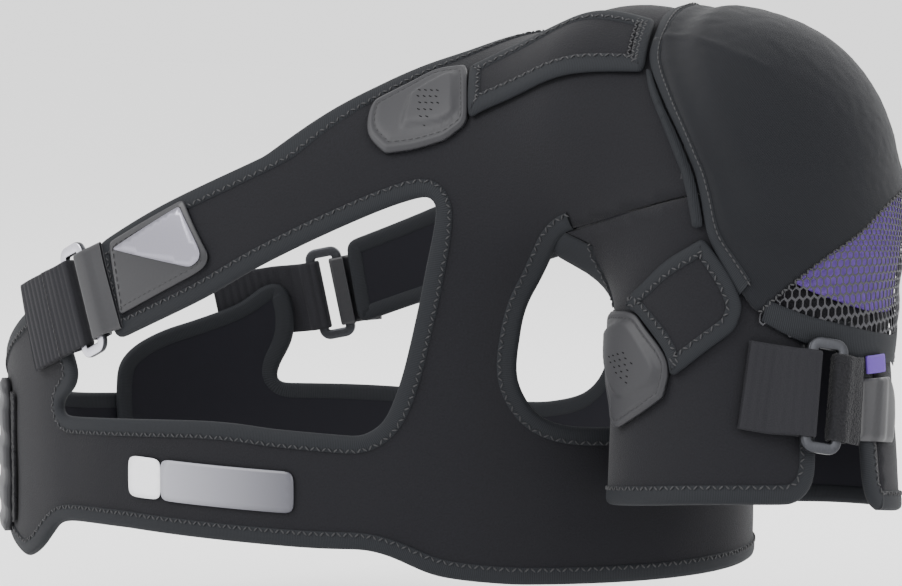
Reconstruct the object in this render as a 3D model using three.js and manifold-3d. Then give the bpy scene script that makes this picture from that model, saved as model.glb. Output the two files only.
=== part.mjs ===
// Shoulder brace in neoprene, worn form, in millimetres.
// X runs along the wearer's shoulders towards the braced one, Y away from the near side, Z up.
// The origin is the top of the braced shoulder, where the brace sits.
import * as THREE from "three";
import * as BufferGeometryUtils from "three/addons/utils/BufferGeometryUtils.js";
import Module from "manifold-3d";

const wasm = await Module();
wasm.setup();

// Wearer's form that the brace is cut for, measured from the middle of the chest
const CHEST_HALF_WIDTH = 180;
const CHEST_HALF_DEPTH = 117;
const CHEST_TOP = -22;
const CHEST_DOME = 100;
const CHEST_DOME_POWER = 2.2;
const YOKE_INNER = new THREE.Vector3(60, -8, -94);
const YOKE_OUTER = new THREE.Vector3(162, -30, -64);
const YOKE_RADIUS = 56;
const SHOULDER_BALL = new THREE.Vector3(219.5, -42.5, -76);
const SHOULDER_RADIUS = 47;
const SHOULDER_RISE = 56;
const ARM_TOP_RADIUS = 49;
const ARM_END = new THREE.Vector3(235, -62.5, -224);
const ARM_END_RADIUS = 56.5;
const ARM_BLEND = 12;
const BODY_BLEND = 28;
const ARMPIT_BLEND = 3;
const ARMPIT_TOP = -90;
const ARMPIT_DEPTH = 60;
const SEAT = new THREE.Vector3(190, -26, 0);

// How a flat pattern is laid on that form
const FAN_INNER = 105;
const FAN_OUTER = 100;
const FAN_RADIUS = 80;
const FAN_TOP = -100;
const FAN_DEPTH = 55;
const RIDGE_AXIS = -70;
const RIDGE_RADIUS = 60;
const PATTERN_RADIUS = 60;
const CAP_FACING = new THREE.Vector3(0.78, -0.45, 0.43).normalize();

// Materials' thicknesses and clearances
const NEOPRENE = 3;
const OVERLAY = 2;
const WEBBING = 1.5;
const RUBBER = 2.6;
const RUBBER_RAISE = 1.4;
const LABEL = 0.5;
const PLATE = 0.6;
const CAP_CLOTH = 1.2;
const NET_CLOTH = 1;
const PAD_EDGE = 1.2;
const PAD_CROWN = 4.6;
const GAP = 0.3;
const LAYER_GAP = 0.6;
const CAP_BASE = NEOPRENE + 1.2;
const PAD_LIFT = NEOPRENE + 1.6;
const CAP_GAP = 2.1;

// Main sizes of the cut pieces
const BRACE_DROP = 240;
const SIDE_SEAM = 286;
const SIDE_TURN = 2 * FAN_INNER + Math.PI * FAN_RADIUS;
const SEAM_X = 228;
const SEAM_SLOPE = 0.25;
const CELL = 20;
const SLEEVE_CELL = 17;
const FINE_CELL = 13;
const SMALL_CELL = 10;
const CURVE_STEPS = 1;

// Fastenings
const NEAR_WEB_WIDTH = 38;
const FAR_WEB_WIDTH = 32;
const ARM_WEB_WIDTH = 34;
const LOOP_BAR = 4.5;
const LOOP_THICK = 3;
const LOOP_SLOT = 8.5;
const LOOP_SIDE_ROOM = 1.2;
const LOOP_LIFT = 2.2;
const WEB_LENGTH = 36;
const BAR_OFFSET = (LOOP_SLOT + LOOP_BAR) / 2;
const FLAT_RUN = 10;
const FOLD_CORNER = 0.6;

const smooth = (value) => THREE.MathUtils.smoothstep(value, 0, 1);

// Smooth union of two distances
function blend(a, b, radius) {
  const share = THREE.MathUtils.clamp(0.5 + (0.5 * (b - a)) / radius, 0, 1);
  return b * (1 - share) + a * share - radius * share * (1 - share);
}

function chestDistance(x, y, z) {
  const round = Math.hypot(x / CHEST_HALF_WIDTH, y / CHEST_HALF_DEPTH);
  const rise = Math.max(0, (z - CHEST_TOP + CHEST_DOME) / CHEST_DOME);
  const power = CHEST_DOME_POWER;
  const size = (round ** power + rise ** power) ** (1 / power);
  const slope = Math.hypot(x / CHEST_HALF_WIDTH ** 2, y / CHEST_HALF_DEPTH ** 2);
  const scale = Math.min(Math.max(round, 1e-6) / (slope + 1e-9), CHEST_HALF_WIDTH);
  return (size - 1) * (rise > 0 ? Math.min(scale, CHEST_HALF_DEPTH) : scale);
}

function yokeDistance(x, y, z) {
  const run = new THREE.Vector3().subVectors(YOKE_OUTER, YOKE_INNER);
  const here = new THREE.Vector3(x, y, z);
  const along = here.clone().sub(YOKE_INNER).dot(run) / run.lengthSq();
  const foot = YOKE_INNER.clone().addScaledVector(run, THREE.MathUtils.clamp(along, 0, 1));
  return here.distanceTo(foot) - YOKE_RADIUS;
}

function ballDistance(x, y, z) {
  const up = z - SHOULDER_BALL.z;
  const rise = up > 0 ? SHOULDER_RISE : SHOULDER_RADIUS;
  const side = Math.hypot(x - SHOULDER_BALL.x, y - SHOULDER_BALL.y) / SHOULDER_RADIUS;
  return (Math.hypot(side, up / rise) - 1) * SHOULDER_RADIUS;
}

function armCentre(z) {
  const share = THREE.MathUtils.clamp(
    (SHOULDER_BALL.z - z) / (SHOULDER_BALL.z - ARM_END.z), 0, 2);
  return {
    share,
    x: SHOULDER_BALL.x + share * (ARM_END.x - SHOULDER_BALL.x),
    y: SHOULDER_BALL.y + share * (ARM_END.y - SHOULDER_BALL.y),
  };
}

function armDistance(x, y, z) {
  const centre = armCentre(z);
  const radius = ARM_TOP_RADIUS + centre.share * (ARM_END_RADIUS - ARM_TOP_RADIUS);
  const side = Math.hypot(x - centre.x, y - centre.y) - radius;
  return Math.max(side, z - SHOULDER_BALL.z);
}

// Distance from the wearer's form, less than 0 inside it
function bodyDistance(x, y, z) {
  const arm = blend(ballDistance(x, y, z), armDistance(x, y, z), ARM_BLEND);
  const shoulder = blend(yokeDistance(x, y, z), arm, BODY_BLEND);
  const fade = smooth((ARMPIT_TOP - z) / ARMPIT_DEPTH);
  const radius = THREE.MathUtils.lerp(BODY_BLEND, ARMPIT_BLEND, fade);
  return blend(chestDistance(x, y, z), shoulder, radius);
}

// Walks from inside the form along a direction to its skin, then out by lift along its normal
function settle(from, direction, lift) {
  const at = (reach) => from.clone().addScaledVector(direction, reach);
  const outside = (reach) => {
    const place = at(reach);
    return bodyDistance(place.x, place.y, place.z) > 0;
  };
  let far = 3;
  while (!outside(far) && far < 330) {
    far += 3;
  }
  let near = far - 3;
  for (let step = 0; step < 24; step += 1) {
    const middle = (near + far) / 2;
    if (outside(middle)) {
      far = middle;
    } else {
      near = middle;
    }
  }
  const skin = at(near);
  const slope = (dx, dy, dz) =>
    bodyDistance(skin.x + dx, skin.y + dy, skin.z + dz) -
    bodyDistance(skin.x - dx, skin.y - dy, skin.z - dz);
  const normal = new THREE.Vector3(slope(0.5, 0, 0), slope(0, 0.5, 0), slope(0, 0, 0.5));
  return skin.addScaledVector(normal.normalize(), lift);
}

const shoulderLine = (x) => -35 * THREE.MathUtils.clamp((x - 110) / 120, 0, 1);

// A place on the trunk pattern: along the girth and up from the shoulder top, side -1 near, 1 far
function trunk(side, along, up, lift) {
  const share = smooth((FAN_TOP - up) / FAN_DEPTH);
  const beyond = Math.max(0, along - FAN_INNER);
  const x = along < -FAN_OUTER ? -FAN_OUTER : Math.min(along, FAN_INNER) + (1 - share) * beyond;
  const fan = along < -FAN_OUTER ? (along + FAN_OUTER) / FAN_RADIUS
    : (share * beyond) / FAN_RADIUS;
  const over = Math.max(0, (up - RIDGE_AXIS) / RIDGE_RADIUS);
  const from = new THREE.Vector3(x, shoulderLine(x), Math.min(up, RIDGE_AXIS));
  const direction = new THREE.Vector3(
    Math.sin(fan) * Math.cos(over), side * Math.cos(fan) * Math.cos(over), Math.sin(over));
  return settle(from, direction, lift);
}

// A place on the sleeve pattern: round the arm from its near side outwards, and up
function sleeve(round, up, lift) {
  const angle = round / PATTERN_RADIUS;
  const centre = armCentre(up);
  const from = new THREE.Vector3(centre.x, centre.y, up);
  return settle(from, new THREE.Vector3(Math.sin(angle), -Math.cos(angle), 0), lift);
}

// A place on the cap pattern, a flat piece formed over the shoulder ball
function dome(right, up, lift, facing = CAP_FACING) {
  const across = new THREE.Vector3(0, 0, 1).cross(facing).normalize();
  const upward = facing.clone().cross(across);
  const reach = Math.hypot(right, up);
  const angle = reach / PATTERN_RADIUS;
  const side = reach > 1e-9 ? Math.sin(angle) / reach : 0;
  const direction = facing.clone().multiplyScalar(Math.cos(angle))
    .addScaledVector(across, side * right)
    .addScaledVector(upward, side * up);
  return settle(SHOULDER_BALL, direction, lift);
}

// Turns a closed geometry into a solid. Marked triangles stay apart through a cut.
function solidOf(geometry, marked = false) {
  const bare = geometry.clone();
  bare.deleteAttribute("normal");
  bare.deleteAttribute("uv");
  const merged = BufferGeometryUtils.mergeVertices(bare, 1e-4);
  const triVerts = new Uint32Array(merged.index.array);
  const mesh = { numProp: 3, vertProperties: merged.attributes.position.array, triVerts };
  if (marked) {
    mesh.faceID = Uint32Array.from({ length: triVerts.length / 3 }, (_, face) => face);
  }
  return new wasm.Manifold(new wasm.Mesh(mesh));
}

function geometryOf(solid) {
  const mesh = solid.getMesh();
  const geometry = new THREE.BufferGeometry();
  geometry.setAttribute("position", new THREE.BufferAttribute(mesh.vertProperties, 3));
  geometry.setIndex(new THREE.BufferAttribute(mesh.triVerts, 1));
  return geometry;
}

// Outline through named edges: each edge is one smooth curve, with a corner where it meets the next
function outline(edges, scaleX = 1, scaleY = 1) {
  const rows = Object.values(edges).map((edge) =>
    edge.map(([x, y]) => new THREE.Vector2(x * scaleX, y * scaleY)));
  const shape = new THREE.Shape();
  shape.moveTo(rows[0][0].x, rows[0][0].y);
  for (const row of rows) {
    const rest = row[0].distanceTo(shape.currentPoint) < 1e-9 ? row.slice(1) : row;
    if (rest.length === 1) {
      shape.lineTo(rest[0].x, rest[0].y);
    } else {
      shape.splineThru(rest);
    }
  }
  return shape;
}

// Solid prism of a flat shape between two heights
function prism(shape, low, high) {
  const geometry = new THREE.ExtrudeGeometry(
    shape, { depth: high - low, bevelEnabled: false, steps: 1, curveSegments: CURVE_STEPS });
  geometry.translate(0, 0, low);
  return solidOf(geometry);
}

// Flat piece one unit thick, cut from a slab of cells so that it can bend everywhere
function cutFlat(shape, cell) {
  const box = new THREE.Box2().setFromPoints(shape.getPoints(CURVE_STEPS));
  const low = box.min.clone().addScalar(-1).divideScalar(cell).floor();
  const count = box.max.clone().addScalar(1).divideScalar(cell).ceil().sub(low);
  const slab = new THREE.BoxGeometry(count.x * cell, count.y * cell, 1, count.x, count.y, 1);
  slab.translate((low.x + count.x / 2) * cell, (low.y + count.y / 2) * cell, 0.5);
  return solidOf(slab, true).intersect(prism(shape, -1, 2));
}

// Moves each point of a flat or profiled geometry to its place, and turns the faces outward
function lay(geometry, place) {
  const bare = BufferGeometryUtils.mergeVertices(geometry, 1e-4);
  const position = bare.attributes.position;
  for (let index = 0; index < position.count; index += 1) {
    const point = place(position.getX(index), position.getY(index), position.getZ(index));
    position.setXYZ(index, point.x, point.y, point.z);
  }
  const faces = bare.index.array;
  let volume = 0;
  const corner = (index) => new THREE.Vector3().fromBufferAttribute(position, faces[index]);
  for (let face = 0; face < faces.length; face += 3) {
    volume += corner(face).dot(corner(face + 1).cross(corner(face + 2)));
  }
  if (volume < 0) {
    for (let face = 0; face < faces.length; face += 3) {
      [faces[face], faces[face + 1]] = [faces[face + 1], faces[face]];
    }
  }
  return bare;
}

const brace = new THREE.Group();
brace.name = "shoulder_brace";
brace.position.copy(SEAT).negate();

function add(name, geometry, colour, roughness, metalness = 0) {
  const bare = geometry.index ? geometry : BufferGeometryUtils.mergeVertices(geometry, 1e-4);
  bare.computeVertexNormals();
  const material = new THREE.MeshStandardMaterial({ color: colour, roughness, metalness });
  const mesh = new THREE.Mesh(bare, material);
  mesh.name = name;
  brace.add(mesh);
}

const COLOURS = {
  neoprene: "#2c2c30",
  lining: "#1a1a20",
  rubber: "#3c3c40",
  webbing: "#3a3a3e",
  steel: "#b4b3bc",
  darkSteel: "#6f6f78",
  cap: "#26272b",
  net: "#4a4a4c",
  pad: "#4b2a7a",
  tag: "#5c3a96",
  label: "#55555d",
  white: "#e6e6e8",
  plate: "#98979f",
  hook: "#1a1a1c",
};

// Shell panels. Along is a share of the chest's half width, up a share of the brace's drop.
const RIDGE_UP = RIDGE_AXIS + RIDGE_RADIUS * Math.PI / 2;
const RIDGE_SEAM = (RIDGE_UP - GAP) / BRACE_DROP;

const NEAR_EDGES = {
  ridge: [[1.3, RIDGE_SEAM], [0.58, RIDGE_SEAM]],
  neck: [[0.5, -0.06], [0.38, -0.146], [0.305, -0.2]],
  strapTop: [[0.15, -0.283], [-0.15, -0.388], [-0.34, -0.46]],
  strapEnd: [[-0.275, -0.62]],
  strapLow: [[-0.017, -0.538], [0.155, -0.47], [0.345, -0.4], [0.467, -0.358], [0.533, -0.342]],
  gapSide: [[0.567, -0.36], [0.556, -0.467], [0.533, -0.562], [0.5, -0.667], [0.46, -0.738],
    [0.405, -0.762]],
  gapLow: [[0.205, -0.758], [-0.005, -0.754], [-0.467, -0.779]],
  notch: [[-0.51, -0.775], [-0.505, -0.746], [-0.456, -0.725], [-0.439, -0.696]],
  wingInner: [[-0.478, -0.642], [-0.539, -0.596], [-0.628, -0.592]],
  wingTop: [[-0.79, -0.654], [-0.944, -0.708], [-1.167, -0.783], [-1.356, -0.82], [-1.667, -0.833]],
  backEnd: [[-1.667, -0.992]],
  lowLeft: [[-1.2, -1], [-0.944, -1.013], [-0.778, -1.04], [-0.672, -1.054]],
  lowStep: [[-0.605, -1.03], [-0.539, -0.983], [-0.467, -0.962], [-0.244, -0.954]],
  low: [[0.267, -0.954], [0.444, -0.954], [0.578, -0.992], [0.722, -1.004]],
  lowRight: [[1.589, -1.004]],
  sideSeam: [[1.589, -0.75]],
  bandTop: [[0.933, -0.742]],
  armhole: [[0.833, -0.738], [0.767, -0.717], [0.728, -0.667], [0.722, -0.625], [0.744, -0.542],
    [0.789, -0.467], [0.85, -0.392], [0.9, -0.378]],
  armSeam: [[1.3, -0.378]],
  close: [[1.3, RIDGE_SEAM]],
};

const FAR_EDGES = {
  ridge: [[1.3, RIDGE_SEAM], [0.58, RIDGE_SEAM]],
  neck: [[0.5, -0.06], [0.38, -0.158], [0.22, -0.27], [0, -0.375]],
  strapTop: [[-0.233, -0.45], [-0.49, -0.53]],
  strapEnd: [[-0.456, -0.683]],
  strapLow: [[-0.3, -0.638], [0.072, -0.542], [0.206, -0.512], [0.3, -0.49]],
  gapSide: [[0.345, -0.515], [0.335, -0.625], [0.3, -0.7], [0.26, -0.762], [0.205, -0.796],
    [0.139, -0.812]],
  gapLow: [[0, -0.825], [-0.361, -0.812], [-0.639, -0.812]],
  notch: [[-0.66, -0.804], [-0.65, -0.77], [-0.622, -0.725], [-0.617, -0.67], [-0.633, -0.62]],
  wingTop: [[-0.65, -0.612], [-0.678, -0.617], [-0.733, -0.654], [-0.85, -0.688],
    [-0.922, -0.704], [-0.994, -0.729], [-1.022, -0.746], [-1.044, -0.762], [-1.05, -0.79]],
  freeEnd: [[-1.05, -0.875], [-1.017, -1.062]],
  low: [[-0.933, -1.1], [-0.833, -1.092], [-0.556, -1.042], [-0.222, -1], [0.267, -0.992],
    [0.578, -1.004]],
  lowRight: [[(SIDE_TURN - SIDE_SEAM - 2 * GAP) / CHEST_HALF_WIDTH, -1.004]],
  sideSeam: [[(SIDE_TURN - SIDE_SEAM - 2 * GAP) / CHEST_HALF_WIDTH, -0.76]],
  armhole: [[0.833, -0.758], [0.767, -0.729], [0.728, -0.667], [0.722, -0.625], [0.744, -0.542],
    [0.789, -0.467], [0.85, -0.392], [0.9, -0.378]],
  armSeam: [[1.3, -0.378]],
  close: [[1.3, RIDGE_SEAM]],
};

// The near panel rises over the far one where they overlap at the wearer's other side
const OVERLAP_START = -218;
const OVERLAP_FULL = -250;
const nearRise = (along) =>
  (NEOPRENE + LAYER_GAP) * smooth((OVERLAP_START - along) / (OVERLAP_START - OVERLAP_FULL));

// Half spaces that part the panels, the outer panel and the sleeve from each other
const ROOM = 700;
function sideOf(x, sign) {
  const geometry = new THREE.BoxGeometry(ROOM, 2 * ROOM, 2 * ROOM);
  geometry.translate(x + (sign * ROOM) / 2, 0, 0);
  return solidOf(geometry);
}

const seamHeight = (x) => SHOULDER_BALL.z - SEAM_SLOPE * Math.max(0, SEAM_X - x);

// Everything under the arm seam, down to a floor
function belowSeam(shift, inner, floor) {
  const shape = new THREE.Shape();
  shape.moveTo(inner, floor);
  shape.lineTo(ROOM, floor);
  shape.lineTo(ROOM, seamHeight(ROOM) + shift);
  shape.lineTo(SEAM_X, seamHeight(SEAM_X) + shift);
  shape.lineTo(inner, seamHeight(inner) + shift);
  shape.closePath();
  const geometry = new THREE.ExtrudeGeometry(
    shape, { depth: 2 * ROOM, bevelEnabled: false, steps: 1 });
  geometry.rotateX(Math.PI / 2);
  geometry.translate(0, ROOM, 0);
  return solidOf(geometry);
}

const ARMHOLE_INNER = 150;
const ARMHOLE_FLOOR = -150;

function shellPanel(edges, side, rise) {
  const flat = cutFlat(outline(edges, CHEST_HALF_WIDTH, BRACE_DROP), CELL);
  const laid = lay(geometryOf(flat), (x, y, z) =>
    trunk(side, x, y, rise(x) + z * NEOPRENE));
  const trimmed = solidOf(laid)
    .subtract(belowSeam(GAP / 2, ARMHOLE_INNER, ARMHOLE_FLOOR))
    .subtract(sideOf(SEAM_X - GAP / 2, 1).intersect(aboveFloor(ARMHOLE_FLOOR)));
  return geometryOf(trimmed);
}

function aboveFloor(floor) {
  const geometry = new THREE.BoxGeometry(2 * ROOM, 2 * ROOM, ROOM);
  geometry.translate(0, 0, floor + ROOM / 2);
  return solidOf(geometry);
}

add("near_panel", shellPanel(NEAR_EDGES, -1, nearRise), COLOURS.neoprene, 0.85);
add("far_panel", shellPanel(FAR_EDGES, 1, () => 0), COLOURS.lining, 0.8);

// Outer panel, a half round piece over the outside of the shoulder
function outerPanel() {
  const radius = PATTERN_RADIUS * 1.62;
  const shape = new THREE.Shape();
  shape.moveTo(-radius, -4);
  shape.lineTo(radius, -4);
  shape.lineTo(radius, 0);
  shape.absarc(0, 0, radius, 0, Math.PI, false);
  shape.closePath();
  const facing = new THREE.Vector3(1, 0, 0);
  const laid = lay(geometryOf(cutFlat(shape, SLEEVE_CELL)), (x, y, z) =>
    dome(x, y, z * NEOPRENE, facing));
  const floor = SHOULDER_BALL.z + GAP / 2;
  return geometryOf(solidOf(laid).intersect(sideOf(SEAM_X + GAP / 2, 1)).intersect(aboveFloor(floor)));
}

add("outer_panel", outerPanel(), COLOURS.neoprene, 0.85);

// Arm sleeve. Round is millimetres about the arm from its near side, up from the shoulder top.
const SLEEVE_SEAM = PATTERN_RADIUS * Math.PI / 2;
const SLEEVE_TURN = 2 * Math.PI * PATTERN_RADIUS;
const SLEEVE_EDGES = {
  top: [[SLEEVE_SEAM - GAP, -60], [-62, -60]],
  rim: [[-66, -97], [-74, -114], [-82, -132], [-90, -150], [-100, -158]],
  farRim: [[-113, -157], [-130, -150], [-145, -137], [-156, -118], [-163, -97]],
  farTop: [[-165, -60], [SLEEVE_SEAM - SLEEVE_TURN + GAP, -60]],
  end: [[SLEEVE_SEAM - SLEEVE_TURN + GAP, -199]],
  hem: [[-250, -203], [-194, -207], [-150, -208], [-74, -203], [6, -194.5], [49, -193.5]],
  corner: [[54.5, -191], [57.5, -186], [58.5, -178]],
  slotNear: [[58.5, -140]],
  slotTop: [[61, -133], [70, -130], [79, -131], [84, -138]],
  slotFar: [[86, -188]],
  flap: [[88, -195], [91, -198], [SLEEVE_SEAM - GAP, -199]],
  close: [[SLEEVE_SEAM - GAP, -60]],
};

function armSleeve() {
  const laid = lay(geometryOf(cutFlat(outline(SLEEVE_EDGES), SLEEVE_CELL)), (x, y, z) =>
    sleeve(x, y, z * NEOPRENE));
  return geometryOf(solidOf(laid).intersect(belowSeam(-GAP / 2, 100, -400)));
}

add("arm_sleeve", armSleeve(), COLOURS.neoprene, 0.85);

const ON_SHELL = NEOPRENE + LAYER_GAP;
const onTrunk = (side, base, thick) => (x, y, z) => trunk(side, x, y, base + z * thick);
const onSleeve = (base, thick) => (x, y, z) => sleeve(x, y, base + z * thick);

function sheet(edges, cell, place) {
  return lay(geometryOf(cutFlat(outline(edges), cell)), place);
}

// Second layer along the shoulder
add("strap_overlay", sheet({
  low: [[109, -56.5], [118, -52], [155, -39], [190, -31]],
  end: [[181, -8]],
  top: [[148, -12], [122, -24], [97, -38]],
  close: [[109, -56.5]],
}, SMALL_CELL, onTrunk(-1, ON_SHELL + GAP, OVERLAY)), COLOURS.neoprene, 0.85);

// Emblem patches, with a raised field
function emblem(edges, field, place) {
  const top = RUBBER / (RUBBER + RUBBER_RAISE);
  const shape = outline(edges);
  const rim = prism(shape, top, 2).subtract(prism(outline(field), 0, 3));
  return lay(geometryOf(cutFlat(shape, SMALL_CELL).subtract(rim)), place);
}

add("emblem_patch_a", emblem({
  left: [[60, -54], [60.5, -58], [65, -64.5], [75, -69]],
  low: [[87, -67.5], [99, -64.5]],
  right: [[103, -62], [107, -56.5], [95.5, -39.5], [91, -36.5]],
  top: [[79, -39], [70, -46.5], [60, -54]],
}, {
  left: [[75, -51], [78, -62.5]],
  low: [[96, -60], [102, -56]],
  right: [[92, -41.5]],
  top: [[86, -42], [75, -51]],
}, onTrunk(-1, ON_SHELL, RUBBER + RUBBER_RAISE)), COLOURS.rubber, 0.6);

add("emblem_patch_b", emblem({
  top: [[-61, -130], [-56, -127], [-48, -125.3], [-32, -124]],
  right: [[-24, -124.8], [-17.4, -129.3], [-8.7, -136], [-4.6, -141.3], [-4, -146], [-6.8, -155.5]],
  low: [[-19.3, -162.7], [-34.4, -169.2], [-39, -170]],
  left: [[-43, -168], [-46, -162], [-53, -156], [-61, -150], [-65, -140], [-61, -130]],
}, {
  top: [[-57, -133.5], [-40, -128.8]],
  right: [[-26, -128.2], [-9, -143.5], [-10.5, -151]],
  low: [[-33, -157.5], [-45, -152.5]],
  close: [[-57, -143], [-57, -133.5]],
}, onSleeve(ON_SHELL, RUBBER + RUBBER_RAISE)), COLOURS.rubber, 0.6);

// Diagonal strap from the patch to the cap
add("arm_tension_strap", sheet({
  top: [[-31, -122.2], [-27.6, -118], [-19, -112.8], [-9, -105.6], [-1.3, -101], [5.7, -97.3],
    [11, -94.5]],
  end: [[12.2, -94.4], [16, -98.9], [20.2, -104], [23.8, -109.2], [26.6, -114.8], [28.2, -119.6],
    [27, -122.4]],
  low: [[25.2, -127.3], [18.3, -132.3], [11.1, -137.3], [3.7, -142.6], [-2.2, -146.5]],
  patch: [[-3.2, -141], [-7.4, -134.9], [-16, -127.9], [-23.4, -123.2], [-31, -122.2]],
}, SMALL_CELL, onSleeve(ON_SHELL, OVERLAY)), COLOURS.neoprene, 0.85);

// Rubber patch at the near strap's end, with its plate
add("strap_end_patch", sheet({
  low: [[-45.5, -138.5], [-3, -118.5]],
  corner: [[3, -114.5], [4, -110]],
  right: [[-12.5, -89]],
  top: [[-52.5, -108.5]],
  close: [[-45.5, -138.5]],
}, 12, onTrunk(-1, ON_SHELL, 1.4)), COLOURS.rubber, 0.45);

add("strap_end_plate", sheet({
  low: [[-49, -111], [-4.5, -115.5]],
  right: [[0.5, -109.5], [-13, -92]],
  close: [[-49, -111]],
}, 12, onTrunk(-1, ON_SHELL + 1.4 + GAP, PLATE)), COLOURS.plate, 0.35, 0.8);

// Label on the near band, its square and its long field
const LABEL_TOP = -198;
const LABEL_LOW = -215.5;
function labelField(left, right) {
  return sheet({
    low: [[left, LABEL_LOW], [right, LABEL_LOW]],
    right: [[right, LABEL_TOP]],
    top: [[left, LABEL_TOP]],
    close: [[left, LABEL_LOW]],
  }, FINE_CELL, onTrunk(-1, NEOPRENE + 2 * GAP, LABEL));
}
add("label_square", labelField(-41, -22.6), COLOURS.white, 0.6);
add("label", labelField(-22.2, 45), COLOURS.label, 0.5);

// Pad, cap, net and welt over the shoulder, on the cap pattern
const CAP_LEFT = [[-6, 103], [-27, 91], [-40, 79], [-50, 68], [-55, 56], [-57.5, 36], [-57, 18],
  [-55, -1], [-53, -20], [-49.5, -38], [-45, -47], [-40, -53.5], [-33, -61]];
const CAP_SPLIT = [[-25.5, -65.5], [-16, -60.5], [-7.5, -56], [2.5, -50.5], [14, -43.5], [30, -34],
  [48, -26], [64, -20], [80, -16]];
const CAP_FAR = [[92, 5], [88, 35], [70, 66], [40, 90], [10, 102], [-6, 103]];
const NET_LOW = [[82, -56], [62, -73], [40, -78.5], [22, -76.5], [9, -74.3], [-2.5, -72.3],
  [-11.5, -70.5], [-18.5, -68.6], [-24.5, -66.6]];
const PAD_EDGES = {
  near: [[-12, 92], [-32, 78], [-42, 64], [-46, 50], [-48, 34], [-48, 16], [-46, -2], [-43, -20],
    [-39, -36], [-30, -49]],
  low: [[-14, -59], [2, -64], [22, -68], [42, -69], [60, -62]],
  far: [[76, -30], [82, 4], [75, 36], [57, 60], [32, 80], [4, 92], [-12, 92]],
};
const PAD_CURVE = outline(PAD_EDGES).getPoints(3);

// Distance inside the pad's outline, less than 0 outside it
function insidePad(x, y) {
  const here = new THREE.Vector2(x, y);
  let nearest = Infinity;
  let crossings = 0;
  for (let index = 0; index < PAD_CURVE.length; index += 1) {
    const a = PAD_CURVE[index];
    const b = PAD_CURVE[(index + 1) % PAD_CURVE.length];
    const run = b.clone().sub(a);
    const share = run.lengthSq() > 0 ? here.clone().sub(a).dot(run) / run.lengthSq() : 0;
    const foot = a.clone().addScaledVector(run, THREE.MathUtils.clamp(share, 0, 1));
    nearest = Math.min(nearest, here.distanceTo(foot));
    if ((a.y > y) !== (b.y > y) && x < a.x + ((y - a.y) / (b.y - a.y)) * (b.x - a.x)) {
      crossings += 1;
    }
  }
  return crossings % 2 === 1 ? nearest : -nearest;
}

const PAD_SHOULDER = 16;
const CAP_RUN_OUT = 9;
const padHeight = (x, y) => PAD_EDGE + PAD_CROWN * smooth(insidePad(x, y) / PAD_SHOULDER);
const capLift = (x, y) => CAP_BASE + (padHeight(x, y) + CAP_GAP)
  * smooth((insidePad(x, y) + CAP_RUN_OUT) / (CAP_RUN_OUT - 1));

add("impact_pad", sheet(PAD_EDGES, FINE_CELL, (x, y, z) =>
  dome(x, y, PAD_LIFT + z * padHeight(x, y))), COLOURS.pad, 0.8);

add("shoulder_cap", sheet({
  left: CAP_LEFT,
  split: CAP_SPLIT,
  far: CAP_FAR,
}, FINE_CELL, (x, y, z) => dome(x, y, capLift(x, y) + z * CAP_CLOTH)), COLOURS.cap, 0.9);

add("cap_net", sheet({
  split: CAP_SPLIT.map(([x, y]) => [x + 0.2, y - 0.8]),
  low: NET_LOW,
}, FINE_CELL, (x, y, z) => dome(x, y, capLift(x, y) + z * NET_CLOTH)), COLOURS.net, 0.8);

add("cap_welt", sheet({
  outer: [[-56.5, 62], [-62.5, 45], [-64, 17], [-61, -15], [-57, -36]],
  end: [[-52, -36.5]],
  inner: [[-55, -20], [-57.2, -1], [-59, 18], [-59.5, 36], [-57.6, 51], [-54.8, 60]],
  close: [[-56.5, 62]],
}, SMALL_CELL, (x, y, z) => dome(x, y, CAP_BASE + z * 1.8)), COLOURS.neoprene, 0.85);

const TAG_LEFT = 84;
const TAG_WIDTH = 13;
const TAG_TOP = -140;
const TAG_DROP = 7;
const TAG = 1;
add("cap_tag", sheet({
  low: [[TAG_LEFT, TAG_TOP - TAG_DROP], [TAG_LEFT + TAG_WIDTH, TAG_TOP - TAG_DROP]],
  right: [[TAG_LEFT + TAG_WIDTH, TAG_TOP]],
  top: [[TAG_LEFT, TAG_TOP]],
  close: [[TAG_LEFT, TAG_TOP - TAG_DROP]],
}, SMALL_CELL, onSleeve(CAP_BASE + NET_CLOTH + 2 * LAYER_GAP, TAG)), COLOURS.tag, 0.6);

// Closure tab from the far side round to the outside of the near wing, and its hook strip
const TAB = 4;
const TAB_BACK_START = -303;
const TAB_BACK_END = -314;
const tabRise = (along) => nearRise(along)
  * (1 - smooth((TAB_BACK_START - along) / (TAB_BACK_START - TAB_BACK_END)));

add("closure_tab", sheet({
  front: [[-141, -180], [-139.5, -200], [-138.5, -225], [-139.5, -240], [-143, -246]],
  low: [[-160, -245], [-200, -238], [-250, -233], [-318, -232]],
  back: [[-325, -226], [-325, -208], [-318, -202]],
  top: [[-250, -198], [-200, -190], [-160, -181], [-147, -177], [-141, -180]],
}, CELL, (x, y, z) => trunk(-1, x, y, ON_SHELL + tabRise(x) + z * TAB)),
COLOURS.rubber, 0.55);

add("closure_hook", sheet({
  left: [[-138.2, -182], [-137, -200], [-136.2, -225], [-137.2, -241]],
  low: [[-132.5, -240]],
  right: [[-132, -183]],
  close: [[-138.2, -182]],
}, FINE_CELL, onTrunk(-1, ON_SHELL, 1.2)), COLOURS.hook, 1);

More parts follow.
